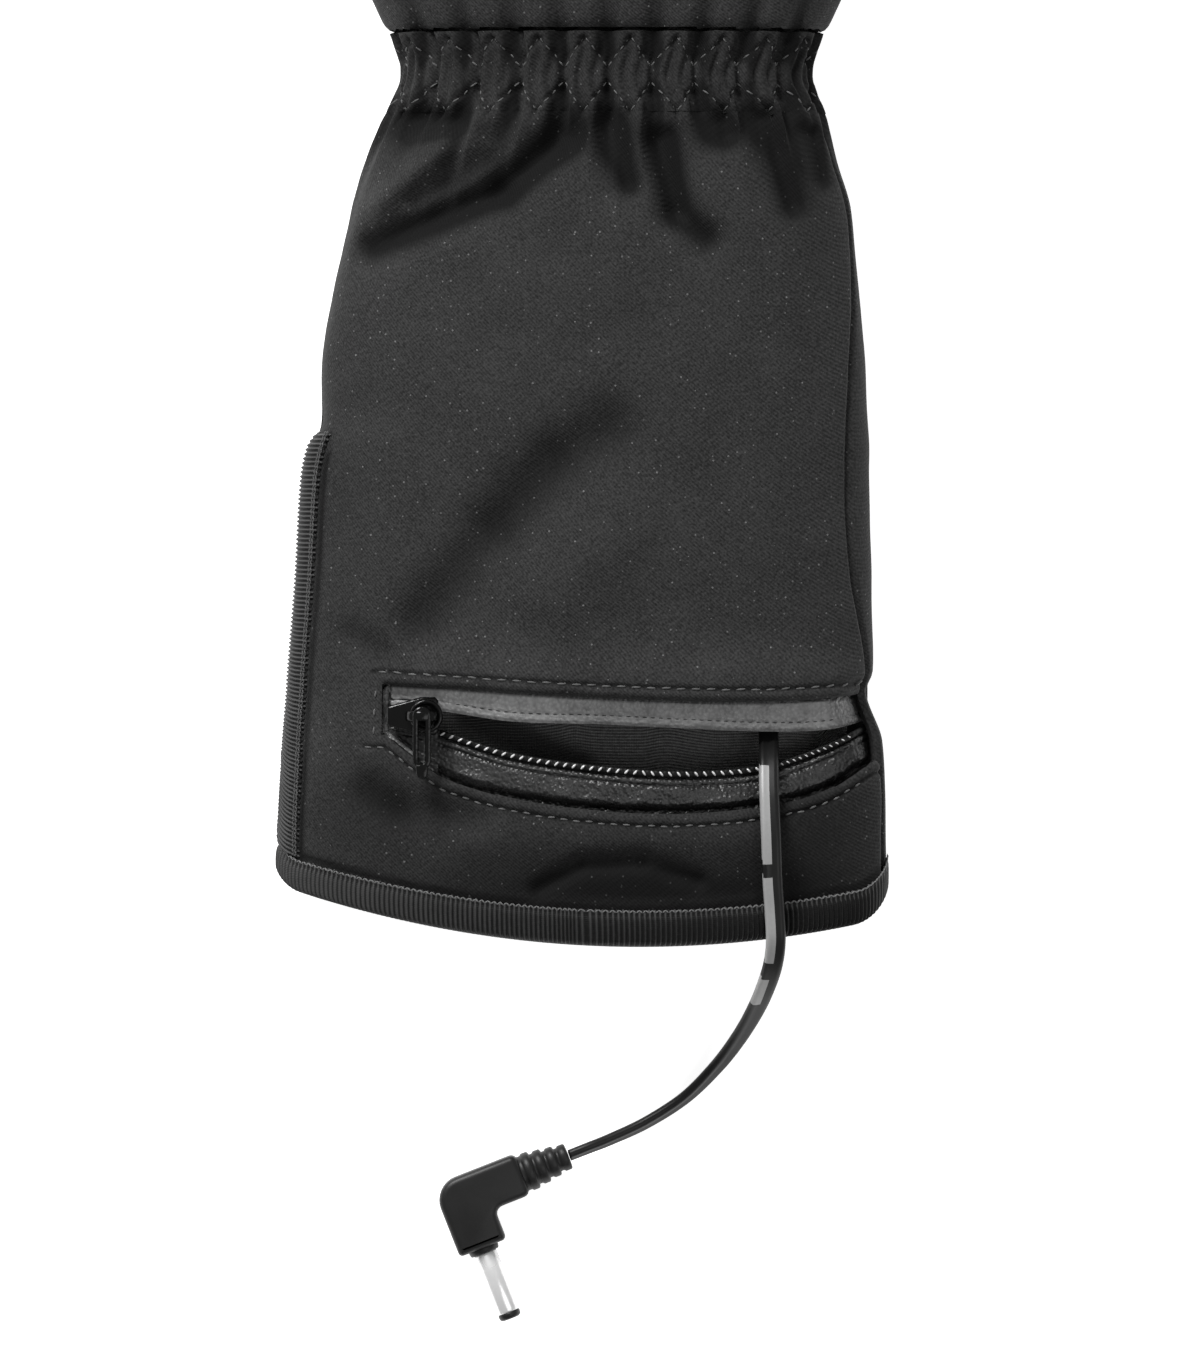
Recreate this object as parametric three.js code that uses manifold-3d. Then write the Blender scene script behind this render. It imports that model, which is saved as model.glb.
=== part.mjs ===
// A left heated glove lying palm down, its battery pocket unzipped and its lead laid out.
// Millimetres. +X runs across the cuff to the thumb side, +Y to the fingertips, +Z up.
// The origin is the middle of the cuff's flat underside.
import * as THREE from 'three';
import { mergeVertices } from 'three/addons/utils/BufferGeometryUtils.js';
import Module from 'manifold-3d';

const wasm = await Module();
wasm.setup();

// Cuff
const cuffWidth = 90;
const cuffLength = 122;
const cuffHeight = 26;
const hemReach = 62;
const cuffWall = 2;
const clearance = 0.3;
const sewnClearance = 0.45;
const topRoundness = 2.4;
const soleRoundness = 3.6;
const middleShare = 0.45;
const soleSink = 0.8;
const hemSagMiddle = 6;
const hemSagRadius = 161;
const hemCornerLeft = 3;
const hemCornerRight = 5;
const foldDepth = 2.6;

// Side vent and binding tape
const ventTop = 12.6;
const ventTurn = 1.8;
const ventGap = 1.6;
const tapeThick = 0.8;
const bindingWidth = 4.3;

// Gathered wrist
const wristLength = 11.5;
const wristWall = 2.4;
const gatherCount = 22;
const gatherPuff = 0.8;

// Hand
const handWidth = 98;
const handLength = 98;
const handHeight = 27;
const handWall = 2;
const fingerReach = 82;
const fingerWall = 2;
const fingerTipShare = 0.8;
const fingerTipRound = 9;
const thumbWidth = 27;
const thumbHeight = 22;
const thumbLength = 92;
const thumbTurn = 33;

// Pocket
const mouthLeft = -31.7;
const mouthLength = 72.3;
const mouthTop = -24.3;
const mouthDrop = 19.1;
const tapeLap = 3;
const coilWidth = 1.3;
const coilThick = 1;
const bagLeft = -34;
const bagRight = 35;
const bagBottom = -52;
const bagTop = 20;
const bagDepth = 9.8;
const bagWall = 1;
const bagRim = 5;

// Zip slider and pull
const sliderLength = 7.6;
const sliderWidth = 5.6;
const sliderThick = 2.4;
const sliderProud = 0.6;
const bridgeRise = 1.9;
const bridgeSpan = 4.2;
const bridgeThick = 0.9;
const pullWidth = 2;
const pullLength = 9.6;
const pullThick = 1;
const eyeWall = 0.7;

// Lead and plug
const leadDiameter = 2.8;
const glandLength = 6;
const plugThick = 6.5;
const plugLift = 0.05;
const plugTurn = 21.5;
const plugX = -20.3;
const plugY = -100.5;
const plugBodyReach = 9.5;
const plugLegWidth = 7.4;
const plugLegReach = 8.05;
const plugCorner = 2.6;
const plugEdge = 1.1;
const reliefLength = 7.3;
const reliefRoot = 3.05;
const reliefEnd = 1.85;
const reliefGroove = 0.7;
const reliefRibs = 4;
const collarRadius = 2.3;
const collarLength = 0.8;
const sleeveRadius = 1.75;
const sleeveLength = 9.2;
const sleeveBore = 0.7;
const tipLength = 0.7;

// Cuff sections from the hem to the wrist, as shares: at of the length, left and right of the width,
// height of the height, seam of a quarter turn (where the front panel ends on the right)
const cuffTable = [
  { at: 0.000, left: -0.516, right: 0.470, height: 0.84, seam: 0.88 },
  { at: 0.108, left: -0.521, right: 0.472, height: 0.92, seam: 0.88 },
  { at: 0.241, left: -0.512, right: 0.466, height: 0.97, seam: 0.88 },
  { at: 0.299, left: -0.506, right: 0.438, height: 0.97, seam: 0.88 },
  { at: 0.325, left: -0.504, right: 0.449, height: 0.98, seam: 0.86 },
  { at: 0.437, left: -0.492, right: 0.447, height: 1.00, seam: 0.74 },
  { at: 0.561, left: -0.482, right: 0.444, height: 1.00, seam: 0.72 },
  { at: 0.597, left: -0.472, right: 0.444, height: 1.00, seam: 0.72 },
  { at: 0.625, left: -0.459, right: 0.442, height: 1.00, seam: 0.73 },
  { at: 0.702, left: -0.457, right: 0.437, height: 0.99, seam: 0.77 },
  { at: 0.791, left: -0.437, right: 0.426, height: 0.98, seam: 0.84 },
  { at: 0.883, left: -0.408, right: 0.414, height: 0.97, seam: 0.88 },
  { at: 0.942, left: -0.385, right: 0.391, height: 0.95, seam: 0.88 },
  { at: 1.000, left: -0.353, right: 0.372, height: 0.91, seam: 0.88 },
];

// Wrist and hand sections, as shares: at of the length, left and right of handWidth, height of handHeight
const wristTable = [
  { at: 0.0, left: -0.318, right: 0.338, height: 0.86 },
  { at: 0.5, left: -0.300, right: 0.320, height: 0.84 },
  { at: 1.0, left: -0.312, right: 0.332, height: 0.86 },
];
const handTable = [
  { at: 0.00, left: -0.322, right: 0.342, height: 0.88 },
  { at: 0.12, left: -0.375, right: 0.395, height: 0.93 },
  { at: 0.35, left: -0.455, right: 0.470, height: 1.00 },
  { at: 0.65, left: -0.495, right: 0.500, height: 1.00 },
  { at: 1.00, left: -0.497, right: 0.503, height: 0.95 },
];

// Fingers from the little finger, as shares: width of the hand's width, length and lean at the tip
// of fingerReach, height at the base of handHeight
const fingerTable = [
  { name: 'finger_little', width: 0.2335, length: 0.744, height: 0.741, lean: -0.110 },
  { name: 'finger_ring', width: 0.2521, length: 0.915, height: 0.852, lean: -0.049 },
  { name: 'finger_middle', width: 0.2603, length: 1.000, height: 0.907, lean: 0.000 },
  { name: 'finger_index', width: 0.2541, length: 0.902, height: 0.852, lean: 0.061 },
];

// Folds of the front panel. x shares of cuffWidth from the origin, y shares of cuffLength from the hem,
// width a share of cuffWidth, depth a share of foldDepth (negative is a ridge)
const foldTable = [
  { x0: -0.311, y0: 0.990, x1: -0.230, y1: 0.985, width: 0.035, depth: 0.60 },
  { x0: -0.060, y0: 0.970, x1: -0.160, y1: 0.905, width: 0.036, depth: 0.85 },
  { x0: -0.160, y0: 0.905, x1: -0.372, y1: 0.838, width: 0.036, depth: 0.75 },
  { x0: -0.190, y0: 0.940, x1: -0.305, y1: 0.890, width: 0.030, depth: 0.40 },
  { x0: -0.200, y0: 0.990, x1: -0.360, y1: 0.893, width: 0.025, depth: -0.45 },
  { x0: 0.020, y0: 0.985, x1: 0.045, y1: 0.915, width: 0.030, depth: 0.60 },
  { x0: 0.100, y0: 0.965, x1: 0.125, y1: 0.880, width: 0.034, depth: 0.90 },
  { x0: 0.125, y0: 0.880, x1: 0.175, y1: 0.848, width: 0.032, depth: 0.55 },
  { x0: 0.200, y0: 0.985, x1: 0.205, y1: 0.975, width: 0.034, depth: 0.60 },
  { x0: 0.268, y0: 0.990, x1: 0.312, y1: 0.888, width: 0.030, depth: 0.60 },
  { x0: 0.345, y0: 0.975, x1: 0.362, y1: 0.920, width: 0.022, depth: 0.50 },
  { x0: 0.020, y0: 0.620, x1: -0.070, y1: 0.582, width: 0.055, depth: 0.75 },
  { x0: -0.070, y0: 0.582, x1: -0.170, y1: 0.500, width: 0.055, depth: 0.95 },
  { x0: -0.170, y0: 0.500, x1: -0.290, y1: 0.385, width: 0.055, depth: 0.75 },
  { x0: 0.040, y0: 0.500, x1: -0.060, y1: 0.420, width: 0.070, depth: -0.35 },
  { x0: -0.400, y0: 0.370, x1: -0.360, y1: 0.350, width: 0.030, depth: 0.40 },
  { x0: -0.370, y0: 0.180, x1: -0.330, y1: 0.160, width: 0.040, depth: 0.55 },
  { x0: -0.020, y0: 0.078, x1: 0.140, y1: 0.078, width: 0.030, depth: 0.45 },
  { x0: -0.200, y0: 0.115, x1: 0.300, y1: 0.115, width: 0.045, depth: -0.35 },
  { x0: -0.260, y0: 0.308, x1: 0.380, y1: 0.296, width: 0.055, depth: -0.75 },
  { x0: 0.200, y0: 0.202, x1: 0.330, y1: 0.210, width: 0.050, depth: 0.50 },
];

// Edges across the pocket mouth. at is a share of mouthLength, the rest are shares of mouthDrop down
// from mouthTop: fold above, lower edge of the upper tape, upper edge of the lower tape, fold below
const mouthTable = [
  { at: 0.000, foldAbove: 0.000, tapeAbove: 0.190, tapeBelow: 0.300, foldBelow: 0.390 },
  { at: 0.070, foldAbove: 0.020, tapeAbove: 0.195, tapeBelow: 0.350, foldBelow: 0.602 },
  { at: 0.127, foldAbove: 0.032, tapeAbove: 0.215, tapeBelow: 0.430, foldBelow: 0.733 },
  { at: 0.259, foldAbove: 0.068, tapeAbove: 0.288, tapeBelow: 0.586, foldBelow: 0.880 },
  { at: 0.433, foldAbove: 0.105, tapeAbove: 0.309, tapeBelow: 0.686, foldBelow: 0.974 },
  { at: 0.604, foldAbove: 0.130, tapeAbove: 0.340, tapeBelow: 0.728, foldBelow: 1.000 },
  { at: 0.776, foldAbove: 0.136, tapeAbove: 0.366, tapeBelow: 0.680, foldBelow: 0.942 },
  { at: 0.905, foldAbove: 0.110, tapeAbove: 0.350, tapeBelow: 0.518, foldBelow: 0.812 },
  { at: 1.000, foldAbove: 0.073, tapeAbove: 0.262, tapeBelow: 0.330, foldBelow: 0.586 },
];

// The lead's centre line, from the gland in the pocket, over the zip and the hem, to the plug
const leadRoute = [
  [24.9, -24.6, 17.3],
  [24.9, -27.6, 17.2],
  [24.9, -30.3, 17.4],
  [24.9, -33.1, 19.2],
  [24.9, -35.9, 21.9],
  [24.9, -39.0, 23.5],
  [25.0, -42.4, 24.5],
  [25.2, -47.4, 25.1],
  [25.4, -53.3, 24.5],
  [25.7, -57.6, 23.7],
  [25.9, -62.0, 23.0],
  [25.5, -65.6, 20.9],
  [24.4, -69.2, 17.2],
  [22.8, -72.9, 12.4],
  [20.4, -77.0, 7.6],
  [17.3, -81.1, 4.1],
  [12.7, -85.7, 2.0],
  [7.0, -89.4, 1.6],
  [1.6, -91.9, 2.4],
  [-1.6, -93.15, 3.1],
  [-4.55, -94.3, 3.3],
];

const black = 0x141416;
const cloth = { color: 0x1b1b1d, roughness: 0.85, metalness: 0 };
const ribbon = { color: 0x17171a, roughness: 0.7, metalness: 0 };
const knit = { color: 0x0e0e10, roughness: 0.95, metalness: 0 };
const coated = { color: 0x5d5d60, roughness: 0.5, metalness: 0 };
const coil = { color: 0x2a2a2c, roughness: 0.35, metalness: 0 };
const gloss = { color: 0x0a0a0b, roughness: 0.2, metalness: 0.3 };
const vinyl = { color: black, roughness: 0.45, metalness: 0 };
const chrome = { color: 0xe6e6e8, roughness: 0.12, metalness: 1 };

const glove = new THREE.Group();

function piece(name, finish, geometry, parent = glove) {
  const mesh = new THREE.Mesh(geometry, new THREE.MeshStandardMaterial(finish));
  mesh.name = name;
  parent.add(mesh);
  return mesh;
}

// Reads a column of a table at a place between its rows, on a smooth curve
function along(table, at, column) {
  const last = table.length - 1;
  let row = 0;
  while (row < last - 1 && at > table[row + 1].at) row += 1;
  const a = table[row];
  const b = table[row + 1];
  const before = table[Math.max(row - 1, 0)];
  const after = table[Math.min(row + 2, last)];
  const span = b.at - a.at;
  const t = THREE.MathUtils.clamp((at - a.at) / span, 0, 1);
  const slopeA = (b[column] - before[column]) / (b.at - before.at);
  const slopeB = (after[column] - a[column]) / (after.at - a.at);
  const rise = t * t * (3 - 2 * t);
  const bend = t * (1 - t) * span * ((1 - t) * slopeA - t * slopeB);
  return a[column] + (b[column] - a[column]) * rise + bend;
}

function smooth(x, low, high) {
  return THREE.MathUtils.smoothstep(x, low, high);
}

// Builds a closed body from its corners and triangles, turned so that its faces point out
function closedBody(corners, triangles) {
  let volume = 0;
  for (const [a, b, c] of triangles) {
    volume += corners[a].dot(new THREE.Vector3().crossVectors(corners[b], corners[c]));
  }
  const index = triangles.flatMap(([a, b, c]) => (volume > 0 ? [a, b, c] : [a, c, b]));
  const geometry = new THREE.BufferGeometry();
  geometry.setAttribute('position', new THREE.Float32BufferAttribute(corners.flatMap((p) => p.toArray()), 3));
  geometry.setIndex(index);
  geometry.computeVertexNormals();
  return geometry;
}

// A wall with two faces: place(u, v, face) gives a corner, face 0 outside and 1 inside.
// With around it closes on itself across u, as a tube does.
function wall(across, up, place, around = false) {
  const columns = around ? across : across + 1;
  const corners = [];
  for (let face = 0; face < 2; face += 1) {
    for (let j = 0; j <= up; j += 1) {
      for (let i = 0; i < columns; i += 1) corners.push(place(i / across, j / up, face));
    }
  }
  const id = (i, j, face) => face * (up + 1) * columns + j * columns + (i % columns);
  const triangles = [];
  const quad = (a, b, c, d) => triangles.push([a, b, c], [a, c, d]);
  for (let j = 0; j < up; j += 1) {
    for (let i = 0; i < across; i += 1) {
      quad(id(i, j, 0), id(i + 1, j, 0), id(i + 1, j + 1, 0), id(i, j + 1, 0));
      quad(id(i, j, 1), id(i, j + 1, 1), id(i + 1, j + 1, 1), id(i + 1, j, 1));
    }
  }
  for (let i = 0; i < across; i += 1) {
    quad(id(i, 0, 0), id(i, 0, 1), id(i + 1, 0, 1), id(i + 1, 0, 0));
    quad(id(i, up, 0), id(i + 1, up, 0), id(i + 1, up, 1), id(i, up, 1));
  }
  if (!around) {
    for (let j = 0; j < up; j += 1) {
      quad(id(0, j, 0), id(0, j + 1, 0), id(0, j + 1, 1), id(0, j, 1));
      quad(id(across, j, 0), id(across, j, 1), id(across, j + 1, 1), id(across, j + 1, 0));
    }
  }
  return closedBody(corners, triangles);
}

// A body through rings of equal count, closed to a point at the middle of its first and last ring
function loft(rings) {
  const count = rings[0].length;
  const corners = rings.flat();
  const middle = (ring) => ring.reduce((sum, p) => sum.add(p), new THREE.Vector3()).divideScalar(count);
  corners.push(middle(rings[0]), middle(rings[rings.length - 1]));
  const first = rings.length * count;
  const triangles = [];
  for (let j = 0; j < rings.length - 1; j += 1) {
    for (let i = 0; i < count; i += 1) {
      const next = (i + 1) % count;
      triangles.push([j * count + i, j * count + next, (j + 1) * count + next]);
      triangles.push([j * count + i, (j + 1) * count + next, (j + 1) * count + i]);
    }
  }
  const lastRing = (rings.length - 1) * count;
  for (let i = 0; i < count; i += 1) {
    const next = (i + 1) % count;
    triangles.push([first, next, i], [first + 1, lastRing + i, lastRing + next]);
  }
  return closedBody(corners, triangles);
}

function toSolid(geometry) {
  const bare = geometry.clone();
  bare.deleteAttribute('normal');
  bare.deleteAttribute('uv');
  const merged = mergeVertices(bare, 1e-4);
  return new wasm.Manifold(new wasm.Mesh({
    numProp: 3,
    vertProperties: new Float32Array(merged.attributes.position.array),
    triVerts: new Uint32Array(merged.index.array),
  }));
}

function fromSolid(solid) {
  const mesh = solid.getMesh();
  const geometry = new THREE.BufferGeometry();
  geometry.setAttribute('position', new THREE.BufferAttribute(new Float32Array(mesh.vertProperties), 3));
  geometry.setIndex(new THREE.BufferAttribute(new Uint32Array(mesh.triVerts), 1));
  geometry.computeVertexNormals();
  return geometry;
}

function placed(geometry, matrix) {
  return geometry.clone().applyMatrix4(matrix);
}

// Sections: a rounded form wider than high, flat where it lies on the floor.
// The angle is 0 at the top and a quarter turn at the right side.
const quarter = Math.PI / 2;

function section(table, at, width, height, y) {
  return {
    y,
    left: along(table, at, 'left') * width,
    right: along(table, at, 'right') * width,
    height: along(table, at, 'height') * height,
    floor: 0,
  };
}

function sectionPoint(ring, angle, depth) {
  const side = Math.sin(angle);
  const up = Math.cos(angle);
  const power = 2 / (up >= 0 ? topRoundness : soleRoundness);
  const middle = ring.height * middleShare;
  const reach = (up >= 0 ? ring.height - middle : middle + soleSink) - depth;
  const halfWidth = (ring.right - ring.left) / 2 - depth;
  const x = (ring.right + ring.left) / 2 + halfWidth * Math.sign(side) * Math.abs(side) ** power;
  const z = middle + reach * Math.sign(up) * Math.abs(up) ** power;
  return new THREE.Vector3(x, ring.y, Math.max(z, ring.floor + depth));
}

// The angle of the section's upper half at a place across it
function angleOfX(ring, x, depth) {
  const halfWidth = (ring.right - ring.left) / 2 - depth;
  const share = THREE.MathUtils.clamp((x - (ring.right + ring.left) / 2) / halfWidth, -1, 1);
  return Math.sign(share) * Math.asin(Math.abs(share) ** (topRoundness / 2));
}

// The angle reached from another one by walking along the section
function walk(ring, angle, distance) {
  const steps = 8;
  let at = angle;
  for (let i = 0; i < steps; i += 1) {
    const ahead = 0.01 * Math.sign(distance);
    const speed = sectionPoint(ring, at, 0).distanceTo(sectionPoint(ring, at + ahead, 0)) / 0.01;
    at += distance / steps / Math.max(speed, 1);
  }
  return at;
}

// Cuff
const hem = -hemReach;
const bindingOver = sewnClearance + tapeThick;

function cuffSection(y) {
  const at = (y + hemReach) / cuffLength;
  const ring = section(cuffTable, at, cuffWidth, cuffHeight, y);
  ring.seam = along(cuffTable, at, 'seam') * quarter;
  return ring;
}

// How far the hem rises above its lowest point: a shallow arc with round corners
function hemRise(x) {
  const ring = cuffSection(hem + hemCornerRight);
  const sag = hemSagRadius - Math.sqrt(hemSagRadius ** 2 - (x - hemSagMiddle) ** 2);
  const intoRight = Math.max(0, x - (ring.right - hemCornerRight));
  const intoLeft = Math.max(0, ring.left + hemCornerLeft - x);
  const roundRight = hemCornerRight - Math.sqrt(Math.max(0, hemCornerRight ** 2 - intoRight ** 2));
  const roundLeft = hemCornerLeft - Math.sqrt(Math.max(0, hemCornerLeft ** 2 - intoLeft ** 2));
  return sag + roundRight + roundLeft;
}

function foldAt(x, y) {
  let depth = 0;
  for (const fold of foldTable) {
    const x0 = fold.x0 * cuffWidth;
    const y0 = hem + fold.y0 * cuffLength;
    const dx = fold.x1 * cuffWidth - x0;
    const dy = hem + fold.y1 * cuffLength - y0;
    const share = ((x - x0) * dx + (y - y0) * dy) / (dx * dx + dy * dy);
    const t = THREE.MathUtils.clamp(share, 0, 1);
    const away = Math.hypot(x - x0 - t * dx, y - y0 - t * dy) / (fold.width * cuffWidth);
    depth += fold.depth * foldDepth * Math.exp(-away * away);
  }
  return depth;
}

// A corner of the cuff: an angle, a share of the length from the hem, and a depth below its outside
function cuffPoint(angleAt, share, depth, past = 0) {
  const level = hem + share * cuffLength;
  const fade = (1 - share) ** 2;
  const flat = cuffSection(level);
  const rise = hemRise(sectionPoint(flat, angleAt(flat), 0).x);
  const ring = cuffSection(level + rise * fade);
  ring.floor = bindingOver * (1 - smooth(share * cuffLength, bindingWidth + 2, bindingWidth + 12));
  const angle = angleAt(ring);
  const point = sectionPoint(ring, angle, depth);
  const top = smooth(Math.cos(angle), 0.15, 0.45);
  point.z -= top * foldAt(point.x, point.y);
  point.y += past;
  return point;
}

// A point of the cuff's upper side, by its place across and along
function topPoint(x, y, depth) {
  const ring = cuffSection(y);
  const point = sectionPoint(ring, angleOfX(ring, x, depth), depth);
  point.x = x;
  point.z -= foldAt(x, y);
  return point;
}

// The panels' edges at the left side: apart by the vent below its top, a seam's gap above it
function ventOpen(y) {
  return 1 - smooth(y, ventTop + 2 * ventTurn, ventTop + 3 * ventTurn);
}

function edgeAngle(ring, upper, extra = 0) {
  const half = clearance / 2 + (ventGap / 2 + bindingOver - clearance / 2) * ventOpen(ring.y) + extra;
  const middle = ring.height * middleShare;
  const reach = upper ? ring.height - middle : middle + soleSink;
  const power = (upper ? topRoundness : soleRoundness) / 2;
  const turn = Math.asin((half / reach) ** power);
  return upper ? -quarter + turn : 3 * quarter - turn;
}

// Rows of the panels, closest together where they fold: rows up to a share of the length
const panelRows = [
  { upTo: 0.13, rows: 4 },
  { upTo: 0.345, rows: 8 },
  { upTo: 0.625, rows: 7 },
  { upTo: 0.80, rows: 2 },
  { upTo: 1.00, rows: 7 },
];
const backRows = [
  { upTo: 0.345, rows: 4 },
  { upTo: 0.540, rows: 2 },
  { upTo: 0.625, rows: 3 },
  { upTo: 1.00, rows: 4 },
];

function rowShares(table) {
  const shares = [0];
  for (const { upTo, rows } of table) {
    const from = shares[shares.length - 1];
    for (let i = 1; i <= rows; i += 1) shares.push(from + ((upTo - from) * i) / rows);
  }
  return shares;
}

function frontPanel() {
  const shares = rowShares(panelRows);
  const up = shares.length - 1;
  const place = (u, v, face) => cuffPoint((ring) => {
    const left = edgeAngle(ring, true);
    return left + (ring.seam - left) * u;
  }, shares[Math.round(v * up)], face * cuffWall);
  return wall(20, up, place);
}

function backPanel() {
  const shares = rowShares(backRows);
  const up = shares.length - 1;
  const place = (u, v, face) => cuffPoint((ring) => {
    const right = walk(ring, ring.seam, clearance);
    return right + (edgeAngle(ring, false) - right) * u;
  }, shares[Math.round(v * up)], face * cuffWall);
  return wall(18, up, place);
}

// Pocket mouth
function mouthEdge(x, column) {
  return mouthTop - mouthDrop * along(mouthTable, (x - mouthLeft) / mouthLength, column);
}

function mouthCut() {
  const steps = 20;
  const end = mouthLeft + mouthLength;
  const xs = Array.from({ length: steps + 1 }, (_, i) => mouthLeft + (mouthLength * i) / steps);
  const outline = new THREE.Shape();
  outline.moveTo(mouthLeft, mouthEdge(mouthLeft, 'foldAbove'));
  xs.slice(1).forEach((x) => outline.lineTo(x, mouthEdge(x, 'foldAbove')));
  outline.lineTo(end + cuffWall, mouthEdge(end, 'foldAbove'));
  outline.lineTo(end + cuffWall, mouthEdge(end, 'foldBelow'));
  xs.slice().reverse().forEach((x) => outline.lineTo(x, mouthEdge(x, 'foldBelow')));
  const cut = new THREE.ExtrudeGeometry(outline, { depth: cuffHeight, bevelEnabled: false, curveSegments: 1 });
  return cut.translate(0, 0, cuffHeight * middleShare);
}

// A strip that follows the cuff's upper side between two lines across it
function strip(left, right, steps, upperY, lowerY, depth, thick) {
  const place = (u, v, face) => {
    const x = left + (right - left) * u;
    return topPoint(x, lowerY(x) + (upperY(x) - lowerY(x)) * v, depth + face * thick);
  };
  return wall(steps, 2, place);
}

const tapeDepth = cuffWall + clearance;
const sliderX = mouthLeft + clearance + sliderLength / 2;
const tapeLeft = sliderX + sliderLength / 2 + clearance;
const tapeRight = bagRight - 2;

function pocketBag() {
  const place = (u, v, face) => {
    const x = bagLeft + (bagRight - bagLeft) * u;
    const y = bagBottom + (bagTop - bagBottom) * v;
    const inX = smooth(Math.min(x - bagLeft, bagRight - x), 0, bagRim);
    const inY = smooth(Math.min(y - bagBottom, bagTop - y), 0, bagRim);
    const rim = tapeDepth + tapeThick + clearance;
    return topPoint(x, y, rim + (bagDepth - rim) * inX * inY + face * bagWall);
  };
  return wall(10, 12, place);
}

// Binding tape: a U round a panel's edge. over is how far the tape lies outside the cloth.
const bindingShape = [
  { face: 0, inward: bindingWidth },
  { face: 0, inward: bindingWidth / 2 },
  { face: 0, inward: 0 },
  { face: 1, inward: 0 },
  { face: 1, inward: bindingWidth / 2 },
  { face: 1, inward: bindingWidth },
];

function bindingCorner(u, side) {
  const row = bindingShape[Math.round(u * (bindingShape.length - 1))];
  const out = side === 0 ? bindingOver : sewnClearance;
  const depth = row.face * (cuffWall + 2 * out) - out;
  const inward = row.inward > 0 ? row.inward : -out;
  return { depth, inward };
}

function hemBinding() {
  const place = (u, v, side) => {
    const { depth, inward } = bindingCorner(u, side);
    return cuffPoint((ring) => {
      const left = edgeAngle(ring, true, -bindingOver);
      return left + (edgeAngle(ring, false, -bindingOver) - left) * v;
    }, Math.max(inward, 0) / cuffLength, depth, Math.min(inward, 0));
  };
  return wall(bindingShape.length - 1, 32, place);
}

function ventBinding(upper) {
  const place = (u, v, side) => {
    const { depth, inward } = bindingCorner(u, side);
    const bottom = hem + bindingWidth + 2 * clearance;
    const share = (bottom - hem) / cuffLength + v * ((ventTop - bottom) / cuffLength);
    return cuffPoint((ring) => walk(ring, edgeAngle(ring, upper), upper ? inward : -inward), share, depth);
  };
  return wall(bindingShape.length - 1, 12, place);
}

// Gathered wrist: ribs round an elastic, fullest between its two sewn edges
const wristBase = hem + cuffLength + clearance;
const wristEnd = wristBase + wristLength;

function wrist() {
  const place = (u, v, face) => {
    const ring = section(wristTable, v, handWidth, handHeight, wristBase + v * wristLength);
    const rib = Math.cos(u * gatherCount * 2 * Math.PI) * 0.5 - 0.5;
    const puff = gatherPuff * rib * Math.sin(Math.PI * (0.2 + 0.6 * v));
    return sectionPoint(ring, u * 4 * quarter, face * wristWall - puff * (1 - face));
  };
  return wall(gatherCount * 3, 3, place, true);
}

// Hand
const handBase = wristEnd + clearance;
const handEnd = handBase + handLength;

function handSection(at) {
  return section(handTable, at, handWidth, handHeight, handBase + at * handLength);
}

function ringOf(ring, depth, sides) {
  return Array.from({ length: sides }, (_, i) => sectionPoint(ring, (i / sides) * 4 * quarter, depth));
}

function handOuter(depth) {
  const steps = 7;
  return loft(Array.from({ length: steps + 1 }, (_, j) => ringOf(handSection(j / steps), depth, 28)));
}

function handShell() {
  const place = (u, v, face) => sectionPoint(handSection(v), u * 4 * quarter, face * handWall);
  return wall(28, 7, place, true);
}

// Rings of a finger from its base to its round tip, inset by depth
function fingerRings(width, height, length, lean, depth, sides) {
  const body = 3;
  const tip = 3;
  const rings = [];
  const straight = length - fingerTipRound;
  for (let j = 0; j <= body + tip; j += 1) {
    const inTip = Math.max(0, j - body) / (tip + 0.25);
    const y = Math.min(j / body, 1) * straight + (fingerTipRound - depth) * Math.sin(inTip * quarter);
    const taper = 1 + (fingerTipShare - 1) * Math.min(y / straight, 1);
    const round = Math.cos(inTip * quarter);
    const halfWidth = ((width / 2) * taper - depth) * round;
    const tall = height * taper;
    const halfHeight = (tall / 2 - depth) * round;
    const power = 2 / topRoundness;
    rings.push(Array.from({ length: sides }, (_, i) => {
      const angle = (i / sides) * 4 * quarter;
      const side = Math.sin(angle);
      const up = Math.cos(angle);
      return new THREE.Vector3(
        lean * (y / length) + halfWidth * Math.sign(side) * Math.abs(side) ** power,
        y,
        tall / 2 + halfHeight * Math.sign(up) * Math.abs(up) ** power,
      );
    }));
  }
  return rings;
}

// A hollow finger: its inside rings from the tip to the open base, then its outside rings back
function finger(width, height, length, lean, sides) {
  const inside = fingerRings(width, height, length, lean, fingerWall, sides).reverse();
  const outside = fingerRings(width, height, length, lean, 0, sides);
  return loft([...inside, ...outside]);
}

const thumbPlace = new THREE.Matrix4().makeTranslation(handWidth * 0.24, handBase + handLength * 0.14, 0)
  .multiply(new THREE.Matrix4().makeRotationZ(-THREE.MathUtils.degToRad(thumbTurn)));

function thumb() {
  const whole = toSolid(placed(finger(thumbWidth, thumbHeight, thumbLength, 0, 12), thumbPlace));
  const outside = whole.subtract(toSolid(handOuter(-clearance)));
  const parts = outside.decompose();
  return fromSolid(parts.reduce((most, part) => (part.volume() > most.volume() ? part : most)));
}

function handWithThumbHole() {
  const inside = loft(fingerRings(thumbWidth, thumbHeight, thumbLength, 0, fingerWall, 12));
  const whole = toSolid(handShell()).subtract(toSolid(placed(inside, thumbPlace)));
  return fromSolid(whole);
}

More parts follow.
